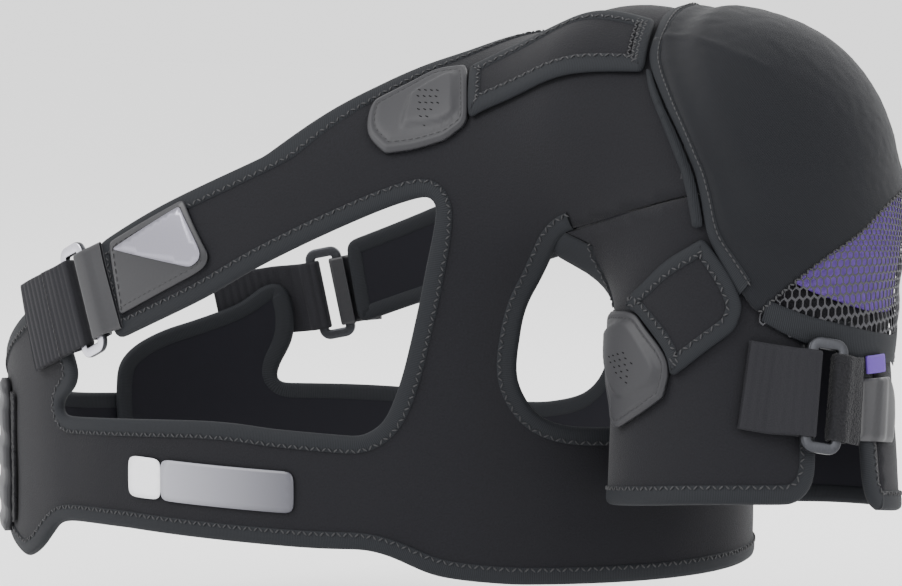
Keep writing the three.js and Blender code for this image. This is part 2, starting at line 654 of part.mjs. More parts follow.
// Rectangular loop: a flat ring whose long bars carry the webbing
function loopGeometry(webWidth) {
  const slotHalf = webWidth / 2 + LOOP_SIDE_ROOM;
  const half = { x: LOOP_SLOT / 2 + LOOP_BAR, y: slotHalf + LOOP_BAR };
  const corner = 3;
  const ring = new THREE.Shape();
  ring.moveTo(-half.x + corner, -half.y);
  ring.lineTo(half.x - corner, -half.y);
  ring.absarc(half.x - corner, -half.y + corner, corner, -Math.PI / 2, 0, false);
  ring.lineTo(half.x, half.y - corner);
  ring.absarc(half.x - corner, half.y - corner, corner, 0, Math.PI / 2, false);
  ring.lineTo(-half.x + corner, half.y);
  ring.absarc(-half.x + corner, half.y - corner, corner, Math.PI / 2, Math.PI, false);
  ring.lineTo(-half.x, -half.y + corner);
  ring.absarc(-half.x + corner, -half.y + corner, corner, Math.PI, 1.5 * Math.PI, false);
  const slot = new THREE.Path();
  slot.moveTo(-LOOP_SLOT / 2, -slotHalf);
  slot.lineTo(-LOOP_SLOT / 2, slotHalf);
  slot.lineTo(LOOP_SLOT / 2, slotHalf);
  slot.lineTo(LOOP_SLOT / 2, -slotHalf);
  slot.closePath();
  ring.holes.push(slot);
  return new THREE.ExtrudeGeometry(
    ring, { depth: LOOP_THICK, bevelEnabled: false, steps: 1, curveSegments: 3 });
}

// Ribbon whose closed profile lies in the plane of run and height, spread over its width
function ribbonGeometry(path, thick, width, steps) {
  const points = path.map(([run, height]) => new THREE.Vector2(run, height));
  const left = [];
  const right = [];
  points.forEach((point, index) => {
    const before = points[Math.max(0, index - 1)];
    const after = points[Math.min(points.length - 1, index + 1)];
    const into = point.clone().sub(index ? before : point);
    const out = after.clone().sub(index < points.length - 1 ? point : before);
    const first = (index ? into : out).clone().normalize();
    const last = (index < points.length - 1 ? out : into).clone().normalize();
    const bisector = first.clone().add(last).normalize();
    const normal = new THREE.Vector2(-bisector.y, bisector.x);
    const reach = thick / 2 / Math.max(0.5, bisector.dot(first));
    left.push(point.clone().addScaledVector(normal, reach));
    right.push(point.clone().addScaledVector(normal, -reach));
  });
  const shape = new THREE.Shape([...left, ...right.reverse()]);
  const geometry = new THREE.ExtrudeGeometry(
    shape, { depth: width, bevelEnabled: false, steps, curveSegments: 1 });
  geometry.translate(0, 0, -width / 2);
  geometry.deleteAttribute("normal");
  geometry.deleteAttribute("uv");
  return geometry;
}

// Path of a fold round one bar of a loop, in run and height. The bar is centred on run 0.
function foldPath(base, thick, tails) {
  const low = base + LOOP_LIFT - GAP - thick / 2;
  const high = base + LOOP_LIFT + LOOP_THICK + GAP + thick / 2;
  const bend = -LOOP_BAR / 2 - GAP - thick / 2;
  return [
    ...tails.top,
    [LOOP_BAR / 2, high],
    [bend + FOLD_CORNER, high],
    [bend, high - FOLD_CORNER],
    [bend, low + FOLD_CORNER],
    [bend + FOLD_CORNER, low],
    [LOOP_BAR / 2, low],
    ...tails.low,
  ];
}

// Spreads run and width about a place of the trunk pattern, turned by a lean in degrees
function trunkFrame(side, along, up, lean, towards) {
  const angle = THREE.MathUtils.degToRad(lean);
  const runX = towards * Math.cos(angle);
  const runY = -Math.sin(angle);
  const widthX = Math.sin(angle);
  const widthY = towards * Math.cos(angle);
  return (run, height, width) =>
    trunk(side, along + run * runX + width * widthX, up + run * runY + width * widthY, height);
}

// Flat place over the shell for a rigid loop, from three places of its frame
function loopPlace(frame) {
  const middle = frame(0, 0, 0);
  const outward = frame(0, 5, 0).sub(middle).normalize();
  const length = frame(0, 0, 10).sub(middle).normalize();
  const across = length.clone().cross(outward).normalize();
  const upright = outward.clone().cross(across);
  return new THREE.Matrix4().makeBasis(across, upright, outward).setPosition(middle);
}

function setLoop(frame, base, webWidth) {
  const ring = loopGeometry(webWidth);
  ring.translate(0, 0, base + LOOP_LIFT);
  return ring.applyMatrix4(loopPlace(frame));
}

// Frame about one bar of a loop: flat like the loop beside it, then following the shell
function barFrame(frame, sign) {
  const matrix = loopPlace(frame);
  const across = new THREE.Vector3().setFromMatrixColumn(matrix, 0);
  const alike = frame(10, 0, 0).sub(frame(0, 0, 0)).dot(across) > 0 ? 1 : -1;
  return (run, height, spread) => {
    const shift = sign * (run + BAR_OFFSET);
    const flat = new THREE.Vector3(alike * shift, spread, height).applyMatrix4(matrix);
    return flat.lerp(frame(shift, height, spread), smooth((run - LOOP_BAR) / FLAT_RUN));
  };
}

const layRibbon = (path, thick, width, steps, frame) =>
  lay(ribbonGeometry(path, thick, width, steps), frame);

// Near and far strap fastenings: loop, folded webbing and folded strap end
const FASTENINGS = [
  { name: "near", side: -1, along: -70, up: -134, lean: 22, width: NEAR_WEB_WIDTH,
    rise: [4.5, 11], end: WEB_LENGTH, steel: COLOURS.steel },
  { name: "far", side: 1, along: -96.5, up: -151, lean: 11, width: FAR_WEB_WIDTH,
    rise: [3.6, 7], end: WEB_LENGTH, steel: COLOURS.darkSteel },
];

for (const item of FASTENINGS) {
  const { name, side, width } = item;
  const loop = trunkFrame(side, item.along, item.up, item.lean, -1);
  add(`${name}_loop`, setLoop(loop, 0, width), item.steel, 0.3, 0.9);
  const high = LOOP_LIFT + LOOP_THICK + GAP + WEBBING / 2;
  const low = LOOP_LIFT - GAP - WEBBING / 2;
  const onWing = ON_SHELL + WEBBING / 2;
  const over = onWing + WEBBING + 0.5;
  add(`${name}_webbing`, layRibbon(foldPath(0, WEBBING, {
    top: [[item.end, over], [27, over], [18, over], [11, over + 0.2]],
    low: [[item.rise[0], low], [item.rise[1], onWing], [24, onWing], [item.end + 4, onWing]],
  }), WEBBING, width, 4, barFrame(loop, 1)), COLOURS.webbing, 0.85);
  add(`${name}_strap_fold`, layRibbon(foldPath(0, WEBBING, {
    top: [[14, ON_SHELL + WEBBING / 2 + 0.2], [8, ON_SHELL + WEBBING / 2 + 0.6], [5, high - 0.2]],
    low: [[LOOP_BAR / 2 + 1.2, low]],
  }), WEBBING, width, 4, barFrame(loop, -1)), COLOURS.rubber, 0.5);
}

// Arm fastening on the sleeve
const ARM_LOOP_ROUND = 61;
const ARM_LOOP_UP = -154;
const ARM_LOOP_LEAN = THREE.MathUtils.degToRad(9);
const armLoop = (run, height, spread) => sleeve(
  ARM_LOOP_ROUND + run * Math.cos(ARM_LOOP_LEAN) + spread * Math.sin(ARM_LOOP_LEAN),
  ARM_LOOP_UP - run * Math.sin(ARM_LOOP_LEAN) + spread * Math.cos(ARM_LOOP_LEAN),
  height);
const ARM_BASE = NEOPRENE + 1.4;
add("arm_loop", setLoop(armLoop, ARM_BASE, ARM_WEB_WIDTH), COLOURS.darkSteel, 0.4, 0.7);

const armLow = ARM_BASE + LOOP_LIFT - GAP - WEBBING / 2;
const armOver = ON_SHELL + WEBBING * 1.5 + 0.5;
add("arm_webbing", layRibbon(foldPath(ARM_BASE, WEBBING, {
  top: [[23, armOver], [14, armOver], [7, armOver + 1.6]],
  low: [[6, armLow - 0.3], [12, ON_SHELL + WEBBING / 2], [24, ON_SHELL + WEBBING / 2]],
}), WEBBING, ARM_WEB_WIDTH, 3, barFrame(armLoop, -1)), COLOURS.webbing, 0.85);

add("arm_band", layRibbon(foldPath(ARM_BASE, WEBBING, {
  top: [[12.5, ON_SHELL + 3], [9, ON_SHELL + 3.4], [6, ON_SHELL + 4.2]],
  low: [[6, armLow]],
}), WEBBING, ARM_WEB_WIDTH, 3, barFrame(armLoop, 1)), COLOURS.hook, 1);

add("arm_band_end", sheet({
  low: [[79, -172], [92, -173.5], [104, -175]],
  tip: [[108, -167], [109.5, -157], [105.5, -149.5]],
  top: [[82.5, -148.5]],
  close: [[79, -172]],
}, SMALL_CELL, onSleeve(ON_SHELL, 3.6)), COLOURS.rubber, 0.4);

export default brace;
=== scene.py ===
"""Neoprene shoulder brace in its worn form: sewn cloth, moulded rubber, webbing and steel loops.

Every cloth piece is a flat cut in millimetres, laid over the worn form along the form's normal.
Lengths in tables are millimetres from the middle of the chest, and the row frame is in metres.
"""

import logging
import math
from collections.abc import Callable, Iterable, Sequence
from dataclasses import dataclass, field
from enum import Enum

import bpy
import numpy as np
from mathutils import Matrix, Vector, noise
from mathutils.geometry import delaunay_2d_cdt


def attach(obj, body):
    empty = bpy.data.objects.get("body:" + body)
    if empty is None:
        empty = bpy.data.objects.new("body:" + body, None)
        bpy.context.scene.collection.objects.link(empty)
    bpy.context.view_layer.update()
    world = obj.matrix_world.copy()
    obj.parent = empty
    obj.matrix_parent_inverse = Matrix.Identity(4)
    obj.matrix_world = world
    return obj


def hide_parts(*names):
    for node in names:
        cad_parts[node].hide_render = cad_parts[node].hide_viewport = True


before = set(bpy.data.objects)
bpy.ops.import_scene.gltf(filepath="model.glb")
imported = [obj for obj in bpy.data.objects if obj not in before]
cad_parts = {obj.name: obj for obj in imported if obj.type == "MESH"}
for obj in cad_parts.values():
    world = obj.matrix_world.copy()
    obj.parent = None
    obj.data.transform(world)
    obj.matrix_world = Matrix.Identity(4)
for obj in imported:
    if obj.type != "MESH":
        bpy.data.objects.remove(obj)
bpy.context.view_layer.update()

LOG = logging.getLogger("shoulder_brace")
MM = 0.001
BODY = "root"
SEAT = np.array([190.0, -26.0, 0.0])
GAP = 0.3
NEOPRENE = 3.0
ON_SHELL = 3.6
STITCH_INSET = 1.1
STITCH_RISE = 0.85
RIDGE_UP = -70 + 60 * math.pi / 2

Array = np.ndarray
Height = Callable[[Array], Array]
Points = Sequence[tuple[float, float]]


def smooth(value: Array | float) -> Array:
    """Smooth step from 0 to 1."""
    share = np.clip(value, 0, 1)
    return share * share * (3 - 2 * share)


def unit(vectors: Array) -> Array:
    """Vectors scaled to length 1."""
    return vectors / np.maximum(np.linalg.norm(vectors, axis=-1, keepdims=True), 1e-12)


def merge(a: Array, b: Array, radius: Array | float) -> Array:
    """Smooth union of two distances.

    Args:
        a: first distance.
        b: second distance.
        radius: width of the blend between them.

    Returns:
        The joined distance.
    """
    share = np.clip(0.5 + 0.5 * (b - a) / radius, 0, 1)
    return b * (1 - share) + a * share - radius * share * (1 - share)


@dataclass(frozen=True)
class WornForm:
    """Smooth form that the brace is cut for, in millimetres from the middle of the chest."""

    chest_half_width: float = 180.0
    chest_half_depth: float = 117.0
    chest_top: float = -22.0
    chest_dome: float = 100.0
    dome_power: float = 2.2
    yoke_inner: tuple[float, float, float] = (60.0, -8.0, -94.0)
    yoke_outer: tuple[float, float, float] = (162.0, -30.0, -64.0)
    yoke_radius: float = 56.0
    ball: tuple[float, float, float] = (219.5, -42.5, -76.0)
    ball_radius: float = 47.0
    ball_rise: float = 56.0
    arm_top_radius: float = 49.0
    arm_end: tuple[float, float, float] = (235.0, -62.5, -224.0)
    arm_end_radius: float = 56.5
    arm_blend: float = 12.0
    arm_rounding: float = 16.0
    blend: float = 28.0
    armpit_blend: float = 3.0
    armpit_top: float = -90.0
    armpit_depth: float = 60.0

    def arm_centre(self, z: Array) -> tuple[Array, Array, Array]:
        """Share along the upper arm and the arm's centre at a height."""
        share = np.clip((self.ball[2] - z) / (self.ball[2] - self.arm_end[2]), 0, 2)
        x = self.ball[0] + share * (self.arm_end[0] - self.ball[0])
        return share, x, self.ball[1] + share * (self.arm_end[1] - self.ball[1])

    def distance(self, p: Array) -> Array:
        """Distance of points from the form.

        Args:
            p: points, one a row.

        Returns:
            One distance a point, less than 0 inside.
        """
        x, y, z = p[:, 0], p[:, 1], p[:, 2]
        a, b = self.chest_half_width, self.chest_half_depth
        girth = np.hypot(x / a, y / b)
        rise = np.maximum(0, (z - self.chest_top + self.chest_dome) / self.chest_dome)
        power = self.dome_power
        size = (girth**power + rise**power) ** (1 / power)
        slope = np.hypot(x / a**2, y / b**2)
        scale = np.minimum(np.maximum(girth, 1e-6) / (slope + 1e-9), a)
        chest = (size - 1) * np.where(rise > 0, np.minimum(scale, b), scale)
        inner, outer = np.array(self.yoke_inner), np.array(self.yoke_outer)
        run = outer - inner
        share = np.clip(((p - inner) @ run) / (run @ run), 0, 1)
        yoke = np.linalg.norm(p - inner - share[:, None] * run, axis=1) - self.yoke_radius
        up = z - self.ball[2]
        tall = np.where(up > 0, self.ball_rise, self.ball_radius)
        side = np.hypot(x - self.ball[0], y - self.ball[1]) / self.ball_radius
        ball = (np.hypot(side, up / tall) - 1) * self.ball_radius
        share, cx, cy = self.arm_centre(z)
        radius = self.arm_top_radius + share * (self.arm_end_radius - self.arm_top_radius)
        arm = -merge(radius - np.hypot(x - cx, y - cy), -up, self.arm_rounding)
        shoulder = merge(yoke, merge(ball, arm, self.arm_blend), self.blend)
        fade = smooth((self.armpit_top - z) / self.armpit_depth)
        return merge(chest, shoulder, self.blend + fade * (self.armpit_blend - self.blend))

    def skin(self, start: Array, direction: Array) -> tuple[Array, Array]:
        """First places where rays from inside leave the form.

        Args:
            start: a point inside the form for each ray.
            direction: unit direction of each ray.

        Returns:
            The places and the form's normals there.
        """
        far = np.full(len(start), 3.0)
        active = np.arange(len(start))
        while len(active) and far.max() < 330:
            at = start[active] + direction[active] * far[active, None]
            active = active[self.distance(at) <= 0]
            far[active] += 3
        near = far - 3
        for _ in range(16):
            middle = (near + far) / 2
            out = self.distance(start + direction * middle[:, None]) > 0
            far, near = np.where(out, middle, far), np.where(out, near, middle)
        place = start + direction * near[:, None]
        steps = np.eye(3) * 0.5
        slope = [self.distance(place + step) - self.distance(place - step) for step in steps]
        return place, unit(np.stack(slope, axis=1))


FORM = WornForm()


class Pattern:
    """A flat pattern that is laid on the worn form."""

    def rays(self, flat: Array) -> tuple[Array, Array]:
        """Starts and directions of the rays that carry flat places to the form."""
        raise NotImplementedError

    def skin(self, flat: Array) -> tuple[Array, Array]:
        """Places on the form and its normals for flat places, in millimetres."""
        return FORM.skin(*self.rays(np.asarray(flat, float)))

    def lay(self, flat: Array, lift: Array | float) -> Array:
        """Places over the form in the row frame.

        Args:
            flat: flat places in millimetres, one a row.
            lift: height over the form in millimetres, one value or one a place.

        Returns:
            The places in metres.
        """
        place, normal = self.skin(flat)
        lift = np.broadcast_to(lift, len(place))
        return (place + normal * lift[:, None] - SEAT) * MM


@dataclass(frozen=True)
class TrunkPattern(Pattern):
    """Pattern round the chest and over the shoulder: along the girth, and up."""

    side: int
    inner: float = 105.0
    outer: float = 100.0
    radius: float = 80.0
    top: float = -100.0
    depth: float = 55.0
    ridge: float = -70.0
    ridge_radius: float = 60.0

    def rays(self, flat: Array) -> tuple[Array, Array]:
        """Rays from the chest's axis, turned over the ridge of the shoulder."""
        along, up = flat[:, 0], flat[:, 1]
        share = smooth((self.top - up) / self.depth)
        beyond = np.maximum(0, along - self.inner)
        left = along < -self.outer
        x = np.where(left, -self.outer, np.minimum(along, self.inner) + (1 - share) * beyond)
        fan = np.where(left, along + self.outer, share * beyond) / self.radius
        over = np.maximum(0, (up - self.ridge) / self.ridge_radius)
        line = -35 * np.clip((x - 110) / 120, 0, 1)
        start = np.stack([x, line, np.minimum(up, self.ridge)], axis=1)
        level = np.cos(over)
        turned = [np.sin(fan) * level, self.side * np.cos(fan) * level, np.sin(over)]
        return start, np.stack(turned, axis=1)


@dataclass(frozen=True)
class SleevePattern(Pattern):
    """Pattern round the upper arm: round from its near side outwards, and up."""

    radius: float = 60.0

    def rays(self, flat: Array) -> tuple[Array, Array]:
        """Level rays from the arm's axis."""
        angle = flat[:, 0] / self.radius
        _, x, y = FORM.arm_centre(flat[:, 1])
        turned = [np.sin(angle), -np.cos(angle), np.zeros_like(angle)]
        return np.stack([x, y, flat[:, 1]], axis=1), np.stack(turned, axis=1)


@dataclass(frozen=True)
class DomePattern(Pattern):
    """Pattern of a flat piece formed over the shoulder ball."""

    facing: tuple[float, float, float] = (0.78, -0.45, 0.43)
    radius: float = 60.0

    def rays(self, flat: Array) -> tuple[Array, Array]:
        """Rays from the ball's centre, spread about the facing direction."""
        facing = unit(np.array(self.facing))
        across = unit(np.cross([0.0, 0.0, 1.0], facing))
        upward = np.cross(facing, across)
        reach = np.maximum(np.linalg.norm(flat, axis=1), 1e-9)
        angle = reach / self.radius
        side = (np.sin(angle) / reach)[:, None]
        spread = across * flat[:, :1] + upward * flat[:, 1:]
        direction = np.cos(angle)[:, None] * facing + side * spread
        return np.tile(np.array(FORM.ball), (len(flat), 1)), direction


NEAR = TrunkPattern(-1)
FAR = TrunkPattern(1)
SLEEVE = SleevePattern()
DOME = DomePattern()
OUTER = DomePattern((1.0, 0.0, 0.0))


def curve_through(points: Points, step: float) -> Array:
    """Smooth curve through points.

    Args:
        points: the points, in order.
        step: wanted distance between the samples.

    Returns:
        Samples from the first point to the last.
    """
    rows = np.array(points, float)
    if len(rows) == 2:
        count = max(1, round(float(np.linalg.norm(rows[1] - rows[0])) / step))
        return rows[0] + np.linspace(0, 1, count + 1)[:, None] * (rows[1] - rows[0])
    padded = np.vstack([rows[:1], rows, rows[-1:]])
    parts = []
    for index in range(len(rows) - 1):
        p0, p1, p2, p3 = padded[index : index + 4]
        count = max(2, round(float(np.linalg.norm(p2 - p1)) / step))
        t = np.linspace(0, 1, count, endpoint=False)[:, None]
        v0, v1 = (p2 - p0) / 2, (p3 - p1) / 2
        bend = (2 * p1 - 2 * p2 + v0 + v1) * t**3 - (3 * p1 - 3 * p2 + 2 * v0 + v1) * t**2
        parts.append(bend + v0 * t + p1)
    return np.vstack([*parts, rows[-1:]])


def ease(line: Array, times: int, closed: bool) -> Array:
    """Line with its corners rounded by averaging neighbours, and its ends kept."""
    for _ in range(times):
        if closed:
            line = (np.roll(line, 1, axis=0) + 2 * line + np.roll(line, -1, axis=0)) / 4
        else:
            middle = (line[:-2] + 2 * line[1:-1] + line[2:]) / 4
            line = np.vstack([line[:1], middle, line[-1:]])
    return line


def sideways(line: Array, reach: float, closed: bool) -> Array:
    """Line moved to its left.

    Args:
        line: flat points in order.
        reach: distance to the left, less than 0 to the right.
        closed: whether the last point meets the first.

    Returns:
        The moved line.
    """
    if closed:
        along = np.roll(line, -1, axis=0) - np.roll(line, 1, axis=0)
    else:
        along = np.gradient(line, axis=0)
    along = unit(along)
    moved = line + reach * np.stack([-along[:, 1], along[:, 0]], axis=1)
    return ease(moved, 4 if abs(reach) > 3 else 1, closed)


def distance_inside(places: Array, loop: Array) -> Array:
    """Distance of flat places inside a closed outline, less than 0 outside it."""
    ends = np.roll(loop, -1, axis=0)
    nearest = np.full(len(places), np.inf)
    crossings = np.zeros(len(places), int)
    x, y = places[:, 0], places[:, 1]
    for a, b in zip(loop, ends):
        run = b - a
        share = np.clip(((places - a) @ run) / max(run @ run, 1e-12), 0, 1)
        gap = places - a - share[:, None] * run
        nearest = np.minimum(nearest, np.hypot(gap[:, 0], gap[:, 1]))
        if a[1] != b[1]:
            crossed = ((a[1] > y) != (b[1] > y)) & (
                x < a[0] + (y - a[1]) / (b[1] - a[1]) * run[0])
            crossings += crossed
    return np.where(crossings % 2 == 1, nearest, -nearest)


@dataclass
class Cut:
    """A flat cut: named edges in order round the piece, with the sewn edges told apart.

    Bound edges have their corners eased, and sewn edges keep theirs.
    """

    edges: dict[str, list[tuple[float, float]]]
    sewn: tuple[str, ...] = ()
    step: float = 2.5
    rounding: int = 4
    scale: tuple[float, float] = (1.0, 1.0)
    loop: Array = field(init=False)
    runs: list[tuple[Array, bool]] = field(init=False)

    def __post_init__(self) -> None:
        """Samples the edges and joins the bound ones into runs."""
        rows = [(name, np.array(row, float) * self.scale) for name, row in self.edges.items()]
        here = rows[-1][1][-1]
        runs: list[tuple[bool, list[Array]]] = []
        for name, row in rows:
            through = row if np.linalg.norm(row[0] - here) < 1e-9 else np.vstack([here, row])
            here = row[-1]
            if len(through) < 2:
                continue
            line = curve_through(through, self.step)[:-1]
            bound = name not in self.sewn
            if runs and runs[-1][0] == bound:
                runs[-1][1].append(line)
            else:
                runs.append((bound, [line]))
        if len(runs) > 1 and runs[0][0] == runs[-1][0]:
            bound, parts = runs.pop()
            runs[0] = (bound, parts + runs[0][1])
        lines = [(bound, np.vstack(parts)) for bound, parts in runs]
        if len(lines) == 1:
            loop = ease(lines[0][1], self.rounding, True)
            turn = self.turn(loop)
            self.loop = loop[::turn]
            self.runs = [(self.loop, True)] if lines[0][0] else []
            return
        done = []
        for index, (bound, line) in enumerate(lines):
            after = lines[(index + 1) % len(lines)][1][:1]
            whole = np.vstack([line, after])
            done.append((bound, ease(whole, self.rounding, False) if bound else whole))
        loop = np.vstack([line[:-1] for _, line in done])
        turn = self.turn(loop)
        self.loop = loop[::turn]
        self.runs = [(line[::turn], False) for bound, line in done if bound]

    @staticmethod
    def turn(loop: Array) -> int:
        """1 where the outline already runs anticlockwise, otherwise -1."""
        after = np.roll(loop, -1, axis=0)
        area = float((loop[:, 0] * after[:, 1] - loop[:, 1] * after[:, 0]).sum())
        return 1 if area > 0 else -1

    @property
    def area(self) -> float:
        """Flat area in square metres."""
        after = np.roll(self.loop, -1, axis=0)
        cross = self.loop[:, 0] * after[:, 1] - self.loop[:, 1] * after[:, 0]
        return abs(float(cross.sum())) / 2 * MM * MM

    @property
    def size(self) -> tuple[float, float]:
        """Width and length of the rectangle that the cut comes from, in metres."""
        spread = np.ptp(self.loop, axis=0) * MM
        return float(spread[0]), float(spread[1])


def plain(height: float) -> Height:
    """The same height everywhere."""
    return lambda flat: np.full(len(flat), height)


def link(name: str, points: Array, faces: Iterable[Sequence[int]], uvs: Array) -> bpy.types.Object:
    """Makes a smooth mesh object that faces outwards.

    Args:
        name: name of the object.
        points: places in metres.
        faces: corner lists.
        uvs: place on the cloth in metres for each point.

    Returns:
        The new object, riding on nothing yet.
    """
    mesh = bpy.data.meshes.new(name)
    mesh.from_pydata(points.tolist(), [], [list(map(int, face)) for face in faces])
    layer = mesh.uv_layers.new(name="cloth")
    corners = np.empty(len(mesh.loops), np.int32)
    mesh.loops.foreach_get("vertex_index", corners)
    layer.data.foreach_set("uv", np.asarray(uvs, np.float32)[corners].ravel())
    mesh.polygons.foreach_set("use_smooth", np.ones(len(mesh.polygons), bool))
    mesh.update()
    thing = bpy.data.objects.new(name, mesh)
    bpy.context.scene.collection.objects.link(thing)
    return thing


def signed_volume(points: Array, faces: Array) -> float:
    """Volume inside triangles, less than 0 where they face inwards."""
    a, b, c = points[faces[:, 0]], points[faces[:, 1]], points[faces[:, 2]]
    return float((a * np.cross(b, c)).sum())


def cut_mesh(cut: Cut, cell: float, rings: Sequence[float] = ()) -> tuple[Array, Array]:
    """Flat triangles that fill a cut.

    Args:
        cut: the flat cut.
        cell: size of the triangles inside.
        rings: distances inside the edge that get a row of points of their own.

    Returns:
        Flat points with the outline first, and triangles.
    """
    low, high = cut.loop.min(axis=0), cut.loop.max(axis=0)
    rows = np.arange(low[1], high[1], cell * 0.87)
    grid = []
    for index, y in enumerate(rows):
        x = np.arange(low[0] + (index % 2) * cell / 2, high[0], cell)
        grid.append(np.stack([x, np.full(len(x), y)], axis=1))
    inner = np.vstack(grid)
    room = (max(rings) if rings else 0) + 0.55 * cell
    inner = inner[distance_inside(inner, cut.loop) > room]
    extra = []
    for ring in rings:
        line = sideways(cut.loop, ring, True)
        extra.append(line[distance_inside(line, cut.loop) > 0.8 * ring])
    places = np.vstack([cut.loop, *extra, inner])
    count = len(cut.loop)
    sides = [(index, (index + 1) % count) for index in range(count)]
    found, _, faces, *_ = delaunay_2d_cdt(
        [Vector(place) for place in places], sides, [], 0, 1e-4, False)
    points, triangles = np.array([tuple(point) for point in found]), np.array(faces, int)
    inside = distance_inside(points[triangles].mean(axis=1), cut.loop) > 0
    return points, triangles[inside]


def cloth(name: str, cut: Cut, pattern: Pattern, base: Height, top: Height, cell: float,
          rings: Sequence[float] = ()) -> bpy.types.Object:
    """Closed piece with a wall, cut flat and laid over the form.

    Args:
        name: name of the object.
        cut: the flat cut.
        pattern: how it is laid.
        base: height of its inner face over the form.
        top: height of its outer face.
        cell: size of its triangles.
        rings: rows of points close inside the edge, for a rounded rim.

    Returns:
        The new object.
    """
    flat, faces = cut_mesh(cut, cell, rings)
    place, normal = pattern.skin(flat)
    outer = place + normal * top(flat)[:, None]
    inner = place + normal * base(flat)[:, None]
    points = (np.vstack([outer, inner]) - SEAT) * MM
    count = len(flat)
    sides = np.sort(np.vstack([faces[:, [0, 1]], faces[:, [1, 2]], faces[:, [2, 0]]]), axis=1)
    _, keep, uses = np.unique(sides, axis=0, return_index=True, return_counts=True)
    directed = np.vstack([faces[:, [0, 1]], faces[:, [1, 2]], faces[:, [2, 0]]])
    rim = directed[keep[uses == 1]]
    walls = np.vstack([
        np.stack([rim[:, 1], rim[:, 0], rim[:, 0] + count], axis=1),
        np.stack([rim[:, 1], rim[:, 0] + count, rim[:, 1] + count], axis=1)])
    whole = np.vstack([faces, faces[:, ::-1] + count, walls])
    if signed_volume(points, whole) < 0:
        whole = whole[:, ::-1]
    return link(name, points, whole, np.vstack([flat, flat]) * MM)


def swept(name: str, rows: Sequence[Array], closed_path: bool, closed_ring: bool,
          lengths: Array, spread: Array) -> bpy.types.Object:
    """Mesh from rows of points, one row for each place across a profile.

    Args:
        name: name of the object.
        rows: for each profile point, its places along the path, in metres.
        closed_path: whether the path ends where it starts.
        closed_ring: whether the profile closes on itself.
        lengths: distance along the path for each place, in metres.
        spread: distance across for each row, in metres.

    Returns:
        The new object.
    """
    grid = np.stack(rows)
    across, along = grid.shape[:2]
    points = grid.reshape(-1, 3)
    number = np.arange(across * along).reshape(across, along)
    next_row = np.roll(number, -1, axis=0) if closed_ring else number[1:]
    this_row = number if closed_ring else number[:-1]
    if closed_path:
        quads = [this_row, np.roll(this_row, -1, 1), np.roll(next_row, -1, 1), next_row]
    else:
        quads = [this_row[:, :-1], this_row[:, 1:], next_row[:, 1:], next_row[:, :-1]]
    faces = np.stack([quad.ravel() for quad in quads], axis=1)
    listed = faces.tolist()
    if closed_ring and not closed_path:
        listed.append(number[::-1, 0].tolist())
        listed.append(number[:, -1].tolist())
    split = np.vstack([faces[:, :3], faces[:, [0, 2, 3]]])
    if closed_ring and signed_volume(points - points.mean(axis=0), split) < 0:
        listed = [face[::-1] for face in listed]
    uvs = np.stack([np.tile(lengths, across), np.repeat(spread, along)], axis=1)
    return link(name, points, listed, uvs)


def travelled(line: Array) -> Array:
    """Distance along a line to each of its points."""
    steps = np.linalg.norm(np.diff(line, axis=0), axis=1)
    return np.concatenate([[0.0], np.cumsum(steps)])


def colour(code: str) -> tuple[float, float, float, float]:
    """Linear colour of an sRGB hex code."""
    parts = [int(code[index : index + 2], 16) / 255 for index in (1, 3, 5)]
    linear = [c / 12.92 if c <= 0.04045 else ((c + 0.055) / 1.055) ** 2.4 for c in parts]
    return (*linear, 1.0)


def add_node(tree: bpy.types.NodeTree, kind: str, settings: dict | None = None,
             **inputs: object) -> bpy.types.Node:
    """Adds a node with its settings and its inputs.

    Args:
        tree: the tree it goes into.
        kind: the node's type name.
        settings: properties of the node itself.
        inputs: values or output sockets for inputs, by name with _ for a blank, or i and a number.

    Returns:
        The new node.
    """
    node = tree.nodes.new(kind)
    for key, value in (settings or {}).items():
        setattr(node, key, value)
    for key, value in inputs.items():
        number = key[1:] if key[0] == "i" and key[1:].isdigit() else None
        socket = node.inputs[int(number)] if number else node.inputs[key.replace("_", " ")]
        if isinstance(value, bpy.types.NodeSocket):
            tree.links.new(value, socket)
        else:
            socket.default_value = value
    return node


